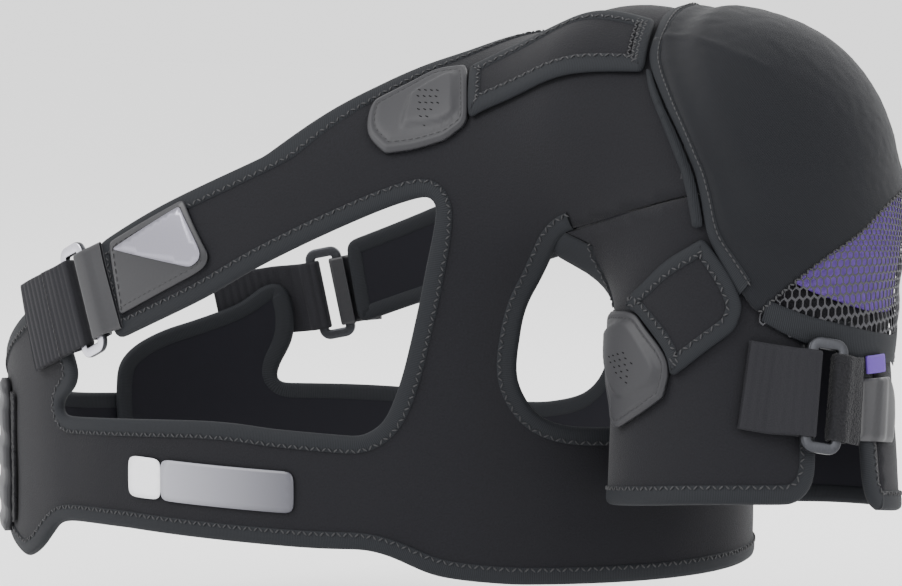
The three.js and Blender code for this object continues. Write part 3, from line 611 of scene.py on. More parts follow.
@dataclass(frozen=True)
class Finish:
    """A surface finish: one colour, a fine grain and a shine."""

    name: str
    shade: str
    light: str
    roughness: float = 0.7
    metallic: float = 0.0
    sheen: float = 0.0
    specular: float = 0.5
    grain_mm: float = 0.6
    bump_mm: float = 0.1

    def height(self, tree: bpy.types.NodeTree, place: bpy.types.NodeSocket) -> bpy.types.NodeSocket:
        """Height of the grain, from 0 to 1, at a place in metres."""
        grain = add_node(tree, "ShaderNodeTexNoise", Vector=place, Scale=1000 / self.grain_mm,
                         Detail=3.0, Roughness=0.6)
        return grain.outputs["Fac"]

    def where(self, tree: bpy.types.NodeTree) -> bpy.types.NodeSocket:
        """Place on the surface that the pattern follows, in metres."""
        return add_node(tree, "ShaderNodeTexCoord").outputs["UV"]

    def tint(self, tree: bpy.types.NodeTree, place: bpy.types.NodeSocket,
             height: bpy.types.NodeSocket) -> bpy.types.NodeSocket:
        """Colour from the grain and a soft unevenness."""
        # Mixed lighter where the grain is higher; for the jersey and the foam the lighter colour is
        # painted highlight
        ramp = add_node(tree, "ShaderNodeMix", {"data_type": "RGBA"})
        tree.links.new(height, ramp.inputs["Factor"])
        ramp.inputs["A"].default_value = colour(self.shade)
        ramp.inputs["B"].default_value = colour(self.light)
        return ramp.outputs["Result"]

    def build(self) -> bpy.types.Material:
        """Makes the material, once.

        Returns:
            The material.
        """
        known = bpy.data.materials.get(self.name)
        if known:
            return known
        material = bpy.data.materials.new(self.name)
        material.use_nodes = True
        tree = material.node_tree
        shader = tree.nodes["Principled BSDF"]
        place = self.where(tree)
        height = self.height(tree, place)
        tree.links.new(self.tint(tree, place, height), shader.inputs["Base Color"])
        shader.inputs["Roughness"].default_value = self.roughness
        shader.inputs["Metallic"].default_value = self.metallic
        shader.inputs["Specular IOR Level"].default_value = self.specular
        shader.inputs["Sheen Weight"].default_value = self.sheen
        shader.inputs["Sheen Roughness"].default_value = 0.4
        bump = add_node(tree, "ShaderNodeBump", Height=height, Distance=self.bump_mm * MM)
        tree.links.new(bump.outputs["Normal"], shader.inputs["Normal"])
        return material


@dataclass(frozen=True)
class Ribbed(Finish):
    """Woven or knitted cloth with ribs along one direction of the cut."""

    rib_mm: float = 1.0
    slant: float = 0.0

    def height(self, tree: bpy.types.NodeTree, place: bpy.types.NodeSocket) -> bpy.types.NodeSocket:
        """Ribs with the grain of the yarn over them."""
        turned = add_node(tree, "ShaderNodeMapping", Vector=place)
        turned.inputs["Rotation"].default_value = (0, 0, math.radians(self.slant))
        wave = add_node(tree, "ShaderNodeTexWave", Vector=turned.outputs["Vector"],
                        Scale=1000 / self.rib_mm * 0.05 * math.pi * 2, Distortion=0.6)
        wave.inputs["Detail Scale"].default_value = 60.0
        grain = super().height(tree, place)
        both = add_node(tree, "ShaderNodeMath", {"operation": "MULTIPLY_ADD"},
                        i0=grain, i1=0.6, i2=wave.outputs["Fac"])
        return add_node(tree, "ShaderNodeMath", {"operation": "MULTIPLY"},
                        i0=both.outputs[0], i1=0.625).outputs[0]


@dataclass(frozen=True)
class Graded(Finish):
    """Printed field that grows darker along the cut."""

    start_mm: float = 0.0
    end_mm: float = 50.0

    def tint(self, tree: bpy.types.NodeTree, place: bpy.types.NodeSocket,
             height: bpy.types.NodeSocket) -> bpy.types.NodeSocket:
        """Colour from light at the start to dark at the end."""
        split = add_node(tree, "ShaderNodeSeparateXYZ", Vector=place)
        share = add_node(tree, "ShaderNodeMapRange", Value=split.outputs["X"])
        share.inputs["From Min"].default_value = self.start_mm * MM
        share.inputs["From Max"].default_value = self.end_mm * MM
        return Finish.tint(self, tree, place, share.outputs["Result"])


# Jersey on neoprene: fine knit grain in the bump, with painted speckle highlights: the colour is
# lighter on the grain's tops
JERSEY = Finish("neoprene_jersey_speckle_highlights", "#0c0c0e", "#1f1f23", 0.82, sheen=0.07, specular=0.12,
                grain_mm=0.75, bump_mm=0.28)
# Nylon lining on the inner face: smooth, slightly blue
LINING = Finish("neoprene_lining", "#0c0c11", "#17171d", 0.7, sheen=0.04, specular=0.12,
                grain_mm=0.5, bump_mm=0.06)
# Elastic tape folded round the edges: fine ribs across the tape
TAPE = Ribbed("elastic_binding_tape", "#0e0f11", "#24262a", 0.7, specular=0.15, grain_mm=0.4,
              bump_mm=0.08, rib_mm=0.7)
# Polyester sewing thread
THREAD = Finish("sewing_thread", "#0c0c0d", "#2b2b2e", 0.6, grain_mm=0.2, bump_mm=0.03)
# Moulded rubber with a fine spark-eroded grain
RUBBER = Finish("moulded_rubber", "#161619", "#26262a", 0.55, specular=0.4, grain_mm=0.35,
                bump_mm=0.03)
# Smooth polyurethane film on the strap's end
STRAP_RUBBER = Finish("smooth_strap_rubber", "#131316", "#212125", 0.42, specular=0.45,
                      grain_mm=1.2, bump_mm=0.015)
# Black body that stands for a perforation, because the patches have no holes cut into them
PIT = Finish("perforation_shadow", "#050506", "#0b0b0c", 0.9, specular=0.1, grain_mm=0.5,
             bump_mm=0.0)
# Nylon webbing: yarn grain over the modelled ribs
WEBBING = Finish("nylon_webbing", "#0c0c0e", "#2b2b2f", 0.75, sheen=0.03, specular=0.12,
                 grain_mm=0.5, bump_mm=0.16)
# Satin plated steel
STEEL = Finish("satin_steel", "#b9b8c1", "#d5d4dd", 0.33, metallic=1.0, grain_mm=0.8,
               bump_mm=0.004)
# Dark plated steel
DARK_STEEL = Finish("dark_plated_steel", "#5c5c64", "#8d8d96", 0.36, metallic=1.0, grain_mm=0.8,
                    bump_mm=0.004)
# Black plating on the arm's loop
BLACK_STEEL = Finish("black_plated_steel", "#2a2b2e", "#3f4044", 0.38, metallic=0.8, grain_mm=0.8,
                     bump_mm=0.004)
# Four-way stretch cloth over the pad
STRETCH = Ribbed("stretch_cloth", "#0c0d0f", "#1d1e22", 0.78, sheen=0.09, specular=0.12,
                 grain_mm=0.5, bump_mm=0.1, rib_mm=0.55, slant=38.0)
# Knitted nylon net
NET = Finish("knitted_net", "#161619", "#38383d", 0.6, sheen=0.06, grain_mm=0.4, bump_mm=0.05)
# Purple foam of the pad, with painted lilac highlights: the colour turns lilac on the grain's tops
FOAM = Finish("purple_foam_painted_highlights", "#2a1152", "#6a4aa6", 0.62, specular=0.45, grain_mm=2.6, bump_mm=0.5)
# Woven tag
TAG = Ribbed("woven_tag", "#3a1f6e", "#522f92", 0.65, grain_mm=0.3, bump_mm=0.04, rib_mm=0.5)
# Satin print of the label's long field, silver to dark
PRINT = Graded("satin_label_print", "#8a8a92", "#3f3f47", 0.38, specular=0.6, grain_mm=0.3,
               bump_mm=0.01, start_mm=-22.0, end_mm=45.0)
# White print of the label's square
WHITE = Finish("white_label_print", "#d9d9dc", "#ededf0", 0.5, grain_mm=0.3, bump_mm=0.01)
# Brushed metallic film of the plate
PLATE = Ribbed("brushed_plate", "#77767f", "#a3a1ad", 0.36, metallic=0.85, grain_mm=0.5,
               bump_mm=0.01, rib_mm=0.4, slant=70.0)
# Hook fastener: stiff short fuzz
FUZZ = Finish("hook_fuzz", "#0d0d0e", "#29292c", 0.95, sheen=0.09, specular=0.1, grain_mm=0.9,
              bump_mm=0.9)


class StitchKind(Enum):
    """How a row of stitches lies: in line, or slanted by turns."""

    LOCK = 0.0
    ZIGZAG = 0.75


class Stitcher:
    """Rows of stitches that follow seams, made by one node tree."""

    def __init__(self) -> None:
        """Builds the tree that sets a stitch at every step of a line."""
        self.tree = bpy.data.node_groups.new("stitch_row", "GeometryNodeTree")
        face = self.tree.interface
        face.new_socket("Line", in_out="INPUT", socket_type="NodeSocketGeometry")
        for name, value in (("Spacing", 0.003), ("Length", 0.0024), ("Thickness", 0.0005),
                            ("Slant", 0.0)):
            socket = face.new_socket(name, in_out="INPUT", socket_type="NodeSocketFloat")
            socket.default_value = value
        face.new_socket("Thread", in_out="INPUT", socket_type="NodeSocketMaterial")
        face.new_socket("Stitches", in_out="OUTPUT", socket_type="NodeSocketGeometry")
        self.fill()

    def fill(self) -> None:
        """Adds the nodes: resample the line, place one stitch at each point, realize."""
        tree = self.tree
        given = add_node(tree, "NodeGroupInput").outputs
        curve = add_node(tree, "GeometryNodeMeshToCurve", Mesh=given["Line"])
        even = add_node(tree, "GeometryNodeResampleCurve", {"mode": "LENGTH"},
                        Curve=curve.outputs[0], Length=given["Spacing"])
        ball = add_node(tree, "GeometryNodeMeshUVSphere", Segments=6, Rings=4, Radius=0.5)
        size = add_node(tree, "ShaderNodeCombineXYZ", X=given["Length"], Y=given["Thickness"],
                        Z=given["Thickness"])
        shaped = add_node(tree, "GeometryNodeTransform", Geometry=ball.outputs["Mesh"],
                          Scale=size.outputs[0])
        way = add_node(tree, "GeometryNodeInputTangent")
        lean = add_node(tree, "FunctionNodeAlignRotationToVector", {"axis": "X"},
                        Vector=way.outputs[0])
        normal = add_node(tree, "GeometryNodeInputNamedAttribute", {"data_type": "FLOAT_VECTOR"},
                          Name="facing")
        upright = add_node(tree, "FunctionNodeAlignRotationToVector",
                           {"axis": "Z", "pivot_axis": "X"},
                           Rotation=lean.outputs[0], Vector=normal.outputs[0])
        index = add_node(tree, "GeometryNodeInputIndex")
        odd = add_node(tree, "ShaderNodeMath", {"operation": "MODULO"}, i0=index.outputs[0], i1=2.0)
        sign = add_node(tree, "ShaderNodeMath", {"operation": "MULTIPLY_ADD"},
                        i0=odd.outputs[0], i1=2.0, i2=-1.0)
        slant = add_node(tree, "ShaderNodeMath", {"operation": "MULTIPLY"},
                         i0=sign.outputs[0], i1=given["Slant"])
        turn = add_node(tree, "FunctionNodeAxisAngleToRotation", Axis=(0.0, 0.0, 1.0),
                        Angle=slant.outputs[0])
        whole = add_node(tree, "FunctionNodeRotateRotation", {"rotation_space": "LOCAL"},
                         Rotation=upright.outputs[0], Rotate_By=turn.outputs[0])
        placed = add_node(tree, "GeometryNodeInstanceOnPoints", Points=even.outputs[0],
                          Instance=shaped.outputs[0], Rotation=whole.outputs[0])
        real = add_node(tree, "GeometryNodeRealizeInstances", Geometry=placed.outputs[0])
        dressed = add_node(tree, "GeometryNodeSetMaterial", Geometry=real.outputs[0],
                           Material=given["Thread"])
        add_node(tree, "NodeGroupOutput", Stitches=dressed.outputs[0])

    def sew(self, name: str, lines: Sequence[tuple[Array, Array]], finish: Finish,
            spacing: float, length: float, thickness: float,
            kind: StitchKind = StitchKind.LOCK) -> bpy.types.Object:
        """Sews rows of stitches along lines.

        Args:
            name: name of the piece.
            lines: pairs of places in metres and the surface's normals there.
            finish: the thread.
            spacing: distance from stitch to stitch, in millimetres.
            length: length of a stitch, in millimetres.
            thickness: thickness of the thread, in millimetres.
            kind: how the stitches lie.

        Returns:
            The stitches as one plain mesh.
        """
        points, normals, edges = [], [], []
        for places, facing in lines:
            start = len(points)
            points.extend(places.tolist())
            normals.extend(facing.tolist())
            edges.extend((start + i, start + i + 1) for i in range(len(places) - 1))
        mesh = bpy.data.meshes.new(name)
        mesh.from_pydata(points, edges, [])
        facing_layer = mesh.attributes.new("facing", "FLOAT_VECTOR", "POINT")
        facing_layer.data.foreach_set("vector", np.array(normals, np.float32).ravel())
        row = bpy.data.objects.new(f"{name}_line", mesh)
        bpy.context.scene.collection.objects.link(row)
        modifier = row.modifiers.new("stitches", "NODES")
        modifier.node_group = self.tree
        values = {"Spacing": spacing * MM, "Length": length * MM, "Thickness": thickness * MM,
                  "Slant": kind.value, "Thread": finish.build()}
        for item in self.tree.interface.items_tree:
            if item.in_out == "INPUT" and item.name in values:
                modifier[item.identifier] = values[item.name]
        graph = bpy.context.evaluated_depsgraph_get()
        made = bpy.data.meshes.new_from_object(row.evaluated_get(graph))
        row.modifiers.clear()
        bpy.data.objects.remove(row)
        made.name = name
        thing = bpy.data.objects.new(name, made)
        bpy.context.scene.collection.objects.link(thing)
        return thing


STITCHER = Stitcher()


def dress(thing: bpy.types.Object, slot: str, *finishes: Finish,
          stands_for: str = "") -> bpy.types.Object:
    """Gives a piece its finishes, and lets it ride on the brace.

    Args:
        thing: the piece.
        slot: not used.
        finishes: its finishes, in the order of its material indices.
        stands_for: the node of the CAD that it replaces, where it replaces one.

    Returns:
        The piece.
    """
    thing.data.materials.clear()
    for finish in finishes:
        thing.data.materials.append(finish.build())
    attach(thing, BODY)
    if stands_for:
        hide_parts(stands_for)
    return thing


def trim_row(pattern: Pattern, line: Array, lift: Height) -> tuple[Array, Array]:
    """Places and normals of a stitch row on a pattern."""
    place, normal = pattern.skin(line)
    return (place + normal * lift(line)[:, None] - SEAT) * MM, normal


@dataclass
class Panel:
    """One neoprene panel: two cloth faces on foam, edges bound with elastic tape."""

    name: str
    cut: Cut
    pattern: Pattern
    base: Height = field(default_factory=lambda: plain(0.0))
    thick: float = NEOPRENE
    cell: float = 5.0
    tape: float = 6.6
    slot: str = "neoprene"
    outer: Finish = JERSEY
    inner: Finish = LINING
    held: str = "stretched"
    stitch_slant: StitchKind = StitchKind.ZIGZAG
    unevenness: float = 0.5
    relief: Height | None = None
    eased: float = 1.0

    def top(self, flat: Array) -> Array:
        """Height of the outer face, with the soft unevenness of worn cloth."""
        wave = np.array([noise.noise(Vector((x / 26, y / 26, self.thick))) for x, y in flat])
        height = self.base(flat) + self.thick + self.unevenness * wave
        return height + self.relief(flat) if self.relief else height

    def stitch_lift(self, flat: Array) -> Array:
        """Height of the stitches on the binding."""
        return self.base(flat) + self.thick + STITCH_RISE

    def tape_rows(self, line: Array, closed: bool) -> bpy.types.Object:
        """Tape folded round one run of the edge.

        Args:
            line: the flat edge.
            closed: whether it goes all the way round.

        Returns:
            The tape.
        """
        wide, thick = self.tape, self.thick
        profile = [(wide, thick - 0.35), (wide - 0.15, thick + 0.3), (wide - 1.2, thick + 0.62),
                   (wide * 0.5, thick + 0.8), (1.2, thick + 0.7), (-0.1, thick + 0.25),
                   (-0.75, thick * 0.75), (-0.9, thick * 0.5), (-0.75, thick * 0.25),
                   (-0.1, -0.15), (1.2, -0.45), (wide - 1.0, -0.45), (wide, 0.3)]
        rows = []
        for reach, height in profile:
            moved = sideways(line, reach, closed)
            rows.append(self.pattern.lay(moved, self.base(moved) + height))
        lengths = travelled(line) * MM
        spread = np.array([reach + 0.3 * height for reach, height in profile]) * MM
        return swept(f"{self.name}_binding", rows, closed, True, lengths, spread)

    def build(self) -> bpy.types.Object:
        """Builds the panel with its bindings and stitches.

        Returns:
            The panel.
        """
        panel = cloth(self.name + "_cloth", self.cut, self.pattern, self.base, self.top, self.cell)
        dress(panel, self.slot, self.outer, self.inner)
        count = len(panel.data.vertices) // 2
        for face in panel.data.polygons:
            face.material_index = int(all(corner >= count for corner in face.vertices))
        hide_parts(self.name)
        trims: list[bpy.types.Object] = []
        rows = []
        for line, closed in self.cut.runs:
            trims.append(self.tape_rows(line, closed))
            inside = sideways(line, self.tape - STITCH_INSET, closed)
            if closed:
                inside = np.vstack([inside, inside[:1]])
            rows.append(trim_row(self.pattern, inside, self.stitch_lift))
        if rows:
            stitches = STITCHER.sew(f"{self.name}_binding_stitches", rows, THREAD, 2.6, 2.6, 0.75,
                                    self.stitch_slant)
            dress(stitches, self.slot, THREAD)
            for index, trim in enumerate(trims):
                trim.name = f"{self.name}_binding_{index + 1}"
                dress(trim, self.slot, TAPE)
            trims.append(stitches)
        wide, long = self.cut.size
        self.cut.area * self.eased**2
        LOG.info("%s: %d triangles", self.name, len(panel.data.polygons))
        return panel


def near_rise(flat: Array) -> Array:
    """Rise of the near panel over the far one where they overlap."""
    return 3.6 * smooth((-218 - flat[:, 0]) / 32)


SHARES = (180.0, 240.0)
RIDGE_SHARE = (RIDGE_UP - GAP) / SHARES[1]
SEAM_END = (228 - GAP / 2) / SHARES[0]
SEAM_LOW = (-76 + GAP) / SHARES[1]
ARMHOLE = [(0.728, -0.667), (0.722, -0.625), (0.744, -0.542), (0.789, -0.467), (0.85, -0.4),
           (0.9, -0.384)]


class Shell:
    """The neoprene shell: near and far panels, outer panel and arm sleeve."""

    near_edges = {
        "ridge": [(SEAM_END, RIDGE_SHARE), (0.58, RIDGE_SHARE)],
        "neck": [(0.5, -0.06), (0.38, -0.146), (0.305, -0.2)],
        "strap_top": [(0.15, -0.283), (-0.15, -0.388), (-0.34, -0.46)],
        "strap_end": [(-0.275, -0.62)],
        "strap_low": [(-0.017, -0.538), (0.155, -0.47), (0.345, -0.4), (0.467, -0.358),
                      (0.533, -0.342)],
        "gap_side": [(0.567, -0.36), (0.556, -0.467), (0.533, -0.562), (0.5, -0.667),
                     (0.46, -0.738), (0.405, -0.762)],
        "gap_low": [(0.205, -0.758), (-0.005, -0.754), (-0.467, -0.779)],
        "notch": [(-0.51, -0.775), (-0.505, -0.746), (-0.456, -0.725), (-0.439, -0.696)],
        "wing_inner": [(-0.478, -0.642), (-0.539, -0.596), (-0.628, -0.592)],
        "wing_top": [(-0.79, -0.654), (-0.944, -0.708), (-1.167, -0.783), (-1.356, -0.82),
                     (-1.667, -0.833)],
        "back_end": [(-1.667, -0.992)],
        "low_left": [(-1.2, -1.0), (-0.944, -1.013), (-0.778, -1.04), (-0.672, -1.054)],
        "low_step": [(-0.605, -1.03), (-0.539, -0.983), (-0.467, -0.962), (-0.244, -0.954)],
        "low": [(0.267, -0.954), (0.444, -0.954), (0.578, -0.992), (0.722, -1.004)],
        "low_right": [(1.589, -1.004)],
        "side_seam": [(1.589, -0.75)],
        "band_top": [(0.933, -0.742)],
        "armhole": [(0.833, -0.738), (0.767, -0.717), *ARMHOLE],
        "arm_seam": [(SEAM_END, SEAM_LOW)],
        "close": [(SEAM_END, RIDGE_SHARE)],
    }
    side_turn = 2 * 105 + math.pi * 80
    far_side = (side_turn - 286 - 2 * GAP) / SHARES[0]
    far_edges = {
        "ridge": [(SEAM_END, RIDGE_SHARE), (0.58, RIDGE_SHARE)],
        "neck": [(0.5, -0.06), (0.38, -0.158), (0.22, -0.27), (0.0, -0.375)],
        "strap_top": [(-0.233, -0.45), (-0.49, -0.53)],
        "strap_end": [(-0.456, -0.683)],
        "strap_low": [(-0.3, -0.638), (0.072, -0.542), (0.206, -0.512), (0.3, -0.49)],
        "gap_side": [(0.345, -0.515), (0.335, -0.625), (0.3, -0.7), (0.26, -0.762),
                     (0.205, -0.796), (0.139, -0.812)],
        "gap_low": [(0.0, -0.825), (-0.361, -0.812), (-0.639, -0.812)],
        "notch": [(-0.66, -0.804), (-0.65, -0.77), (-0.622, -0.725), (-0.617, -0.67),
                  (-0.633, -0.62)],
        "wing_top": [(-0.65, -0.612), (-0.678, -0.617), (-0.733, -0.654), (-0.85, -0.688),
                     (-0.922, -0.704), (-0.994, -0.729), (-1.022, -0.746), (-1.044, -0.762),
                     (-1.05, -0.79)],
        "free_end": [(-1.05, -0.875), (-1.017, -1.062)],
        "low": [(-0.933, -1.1), (-0.833, -1.092), (-0.556, -1.042), (-0.222, -1.0),
                (0.267, -0.992), (0.578, -1.004)],
        "low_right": [(far_side, -1.004)],
        "side_seam": [(far_side, -0.76)],
        "armhole": [(0.833, -0.758), (0.767, -0.729), *ARMHOLE],
        "arm_seam": [(SEAM_END, SEAM_LOW)],
        "close": [(SEAM_END, RIDGE_SHARE)],
    }
    sewn = ("ridge", "side_seam", "arm_seam", "close")

    def sleeve_cut(self) -> Cut:
        """Flat cut of the arm sleeve, with its top edge along the arm seam."""
        quarter = 60 * math.pi / 2
        start, end = quarter - GAP, quarter - 2 * math.pi * 60 + GAP

        def seam(first: float, last: float) -> list[tuple[float, float]]:
            """Points of the arm seam between two turns, a little under the shell."""
            turn = np.linspace(first, last, max(2, round(abs(last - first) / 9)))
            up = np.full(len(turn), -76.4)
            for _ in range(3):
                x = SLEEVE.skin(np.stack([turn, up], axis=1))[0][:, 0]
                up = -76.4 - 0.25 * np.maximum(0, 228 - x)
            return list(zip(turn.tolist(), up.tolist()))

        return Cut({
            "top": seam(start, -64.0),
            "rim": [(-67, -97), (-74, -114), (-82, -132), (-90, -150), (-100, -158)],
            "far_rim": [(-113, -157), (-130, -150), (-145, -137), (-156, -118), (-163, -97)],
            "far_top": seam(-164.0, end),
            "end": [(end, -199)],
            "hem": [(-250, -203), (-194, -207), (-150, -208), (-74, -203), (6, -194.5),
                    (49, -193.5)],
            "corner": [(54.5, -191), (57.5, -186), (58.5, -178)],
            "slot_near": [(58.5, -140)],
            "slot_top": [(61, -133), (70, -130), (79, -131), (84, -138)],
            "slot_far": [(86, -188)],
            "flap": [(88, -195), (91, -198), (start, -199)],
            "close": [(start, -76.4)],
        }, ("top", "far_top", "end", "close"))

    def build(self) -> list[bpy.types.Object]:
        """Builds the four shell panels.

        Returns:
            The panels.
        """
        near = Panel("near_panel", Cut(self.near_edges, self.sewn, scale=SHARES), NEAR, near_rise)
        far = Panel("far_panel", Cut(self.far_edges, self.sewn, scale=SHARES), FAR)
        sleeve = Panel("arm_sleeve", self.sleeve_cut(), SLEEVE, cell=4.5, held="folded")
        half_turn = np.linspace(0, math.pi, 25)
        arc = [(96.0 * math.cos(turn), 96.0 * math.sin(turn) + 0.2) for turn in half_turn]
        outer_cut = Cut({"arc": arc, "base": [(96.0, 0.2)]}, ("arc", "base"))
        outer = Panel("outer_panel", outer_cut, OUTER, eased=0.85)
        return [part.build() for part in (near, far, sleeve, outer)]


class Layers:
    """Second layers sewn on the shell: shoulder overlay and diagonal arm strap."""

    overlay_edges = {
        "low": [(109, -56.5), (118, -52), (155, -39), (190, -31)],
        "end": [(181, -8)],
        "top": [(148, -12), (122, -24), (97, -38)],
        "close": [(109, -56.5)],
    }
    strap_edges = {
        "top": [(-31, -122.2), (-27.6, -118), (-19, -112.8), (-9, -105.6), (-1.3, -101),
                (5.7, -97.3), (11, -94.5)],
        "end": [(12.2, -94.4), (16, -98.9), (20.2, -104), (23.8, -109.2), (26.6, -114.8),
                (28.2, -119.6), (27, -122.4)],
        "low": [(25.2, -127.3), (18.3, -132.3), (11.1, -137.3), (3.7, -142.6), (-2.2, -146.5)],
        "patch": [(-3.2, -141), (-7.4, -134.9), (-16, -127.9), (-23.4, -123.2), (-31, -122.2)],
    }

    def build(self) -> list[bpy.types.Object]:
        """Builds both layers and the overlay's end stitching.

        Returns:
            The layers.
        """
        overlay = Panel("strap_overlay", Cut(self.overlay_edges, step=1.5, rounding=2), NEAR,
                        plain(ON_SHELL + GAP), 2.0, 3.0, 5.6, held="laid", unevenness=0.3)
        strap = Panel("arm_tension_strap", Cut(self.strap_edges, step=1.5, rounding=2), SLEEVE,
                      plain(ON_SHELL), 2.0, 3.0, 5.6, held="laid", unevenness=0.3)
        parts = [overlay.build(), strap.build()]
        rows = []
        for shift in (0.0, 2.0, 4.0):
            across = curve_through([(186 - shift, -28.5), (179.5 - shift, -11)], 1.0)
            rows.append(trim_row(NEAR, across, plain(ON_SHELL + 2.9)))
        bar = STITCHER.sew("overlay_end_stitches", rows, THREAD, 1.6, 2.2, 0.8, StitchKind.ZIGZAG)
        parts.append(dress(bar, "neoprene", THREAD))
        return parts


@dataclass
class Emblem:
    """Moulded rubber patch with a raised five-sided field and bodies that stand for holes."""

    name: str
    edges: dict[str, list[tuple[float, float]]]
    raised: dict[str, list[tuple[float, float]]]
    pattern: Pattern
    first_hole: tuple[float, float]
    across: tuple[float, float]
    down: tuple[float, float]
    thick: float = 2.6
    rise: float = 1.4
    rows: tuple[tuple[int, int], ...] = ((0, 4), (0, 4), (1, 4), (1, 3), (2, 2), (3, 1))

    def build(self) -> bpy.types.Object:
        """Builds the patch with its perforations and stitched groove.

        Returns:
            The patch.
        """
        cut = Cut(self.edges, step=1.0, rounding=3)
        inner = Cut(self.raised, step=1.0, rounding=5).loop

        def top(flat: Array) -> Array:
            """Height of the face: rounded rim, groove for the stitches and raised field."""
            edge = distance_inside(flat, cut.loop)
            rim = 0.9 * (1 - smooth(edge / 1.4))
            groove = 0.45 * np.exp(-(((edge - 2.6) / 0.55) ** 2))
            lift = self.rise * smooth((distance_inside(flat, inner) + 0.4) / 2.0)
            return ON_SHELL + self.thick - rim - groove + lift

        patch = cloth(self.name + "_moulding", cut, self.pattern, plain(ON_SHELL), top, 1.3,
                      (0.4, 0.9, 1.5, 2.1, 2.6, 3.2))
        dress(patch, "patch_rubber", RUBBER, stands_for=self.name)
        line = sideways(cut.loop, 2.6, True)
        row = trim_row(self.pattern, np.vstack([line, line[:1]]), lambda flat: top(flat) + 0.05)
        stitches = STITCHER.sew(self.name + "_stitches", [row], THREAD, 3.0, 2.2, 0.6)
        dress(stitches, "patch_rubber", THREAD)
        holes = []
        for index, (skip, count) in enumerate(self.rows):
            for step in range(count):
                shift = skip * 0.5 + step
                holes.append((
                    self.first_hole[0] + shift * self.across[0] + index * self.down[0],
                    self.first_hole[1] + shift * self.across[1] + index * self.down[1]))
        spots, facing = trim_row(self.pattern, np.array(holes), lambda flat: top(flat) + 0.02)
        pits = STITCHER.sew(self.name + "_perforations", [
            (np.stack([spot, spot + 0.0005 * unit(np.cross(way, [0.3, 0.2, 1.0]))]),
             np.stack([way, way])) for spot, way in zip(spots, facing)], PIT, 1.0, 1.3, 0.5)
        dress(pits, "patch_rubber", PIT)
        return patch


class Emblems:
    """The two moulded patches."""

    a_edges = {
        "left": [(60, -54), (60.5, -58), (65, -64.5), (75, -69)],
        "low": [(87, -67.5), (99, -64.5)],
        "right": [(103, -62), (107, -56.5), (95.5, -39.5), (91, -36.5)],
        "top": [(79, -39), (70, -46.5), (60, -54)],
    }
    a_raised = {
        "left": [(75, -51), (78, -62.5)],
        "low": [(96, -60), (102, -56)],
        "right": [(92, -41.5)],
        "top": [(86, -42), (75, -51)],
    }
    b_edges = {
        "top": [(-61, -130), (-56, -127), (-48, -125.3), (-32, -124)],
        "right": [(-24, -124.8), (-17.4, -129.3), (-8.7, -136), (-4.6, -141.3), (-4, -146),
                  (-6.8, -155.5)],
        "low": [(-19.3, -162.7), (-34.4, -169.2), (-39, -170)],
        "left": [(-43, -168), (-46, -162), (-53, -156), (-61, -150), (-65, -140), (-61, -130)],
    }
    b_raised = {
        "top": [(-57, -133.5), (-40, -128.8)],
        "right": [(-26, -128.2), (-9, -143.5), (-10.5, -151)],
        "low": [(-33, -157.5), (-45, -152.5)],
        "close": [(-57, -143), (-57, -133.5)],
    }

    def build(self) -> list[bpy.types.Object]:
        """Builds both patches.

        Returns:
            The patches.
        """
        return [
            Emblem("emblem_patch_a", self.a_edges, self.a_raised, NEAR, (79.8, -50.5),
                   (3.0, 0.15), (0.9, -2.2)).build(),
            Emblem("emblem_patch_b", self.b_edges, self.b_raised, SLEEVE, (-41.0, -142.8),
                   (4.4, 0.9), (1.9, -2.0)).build(),
        ]


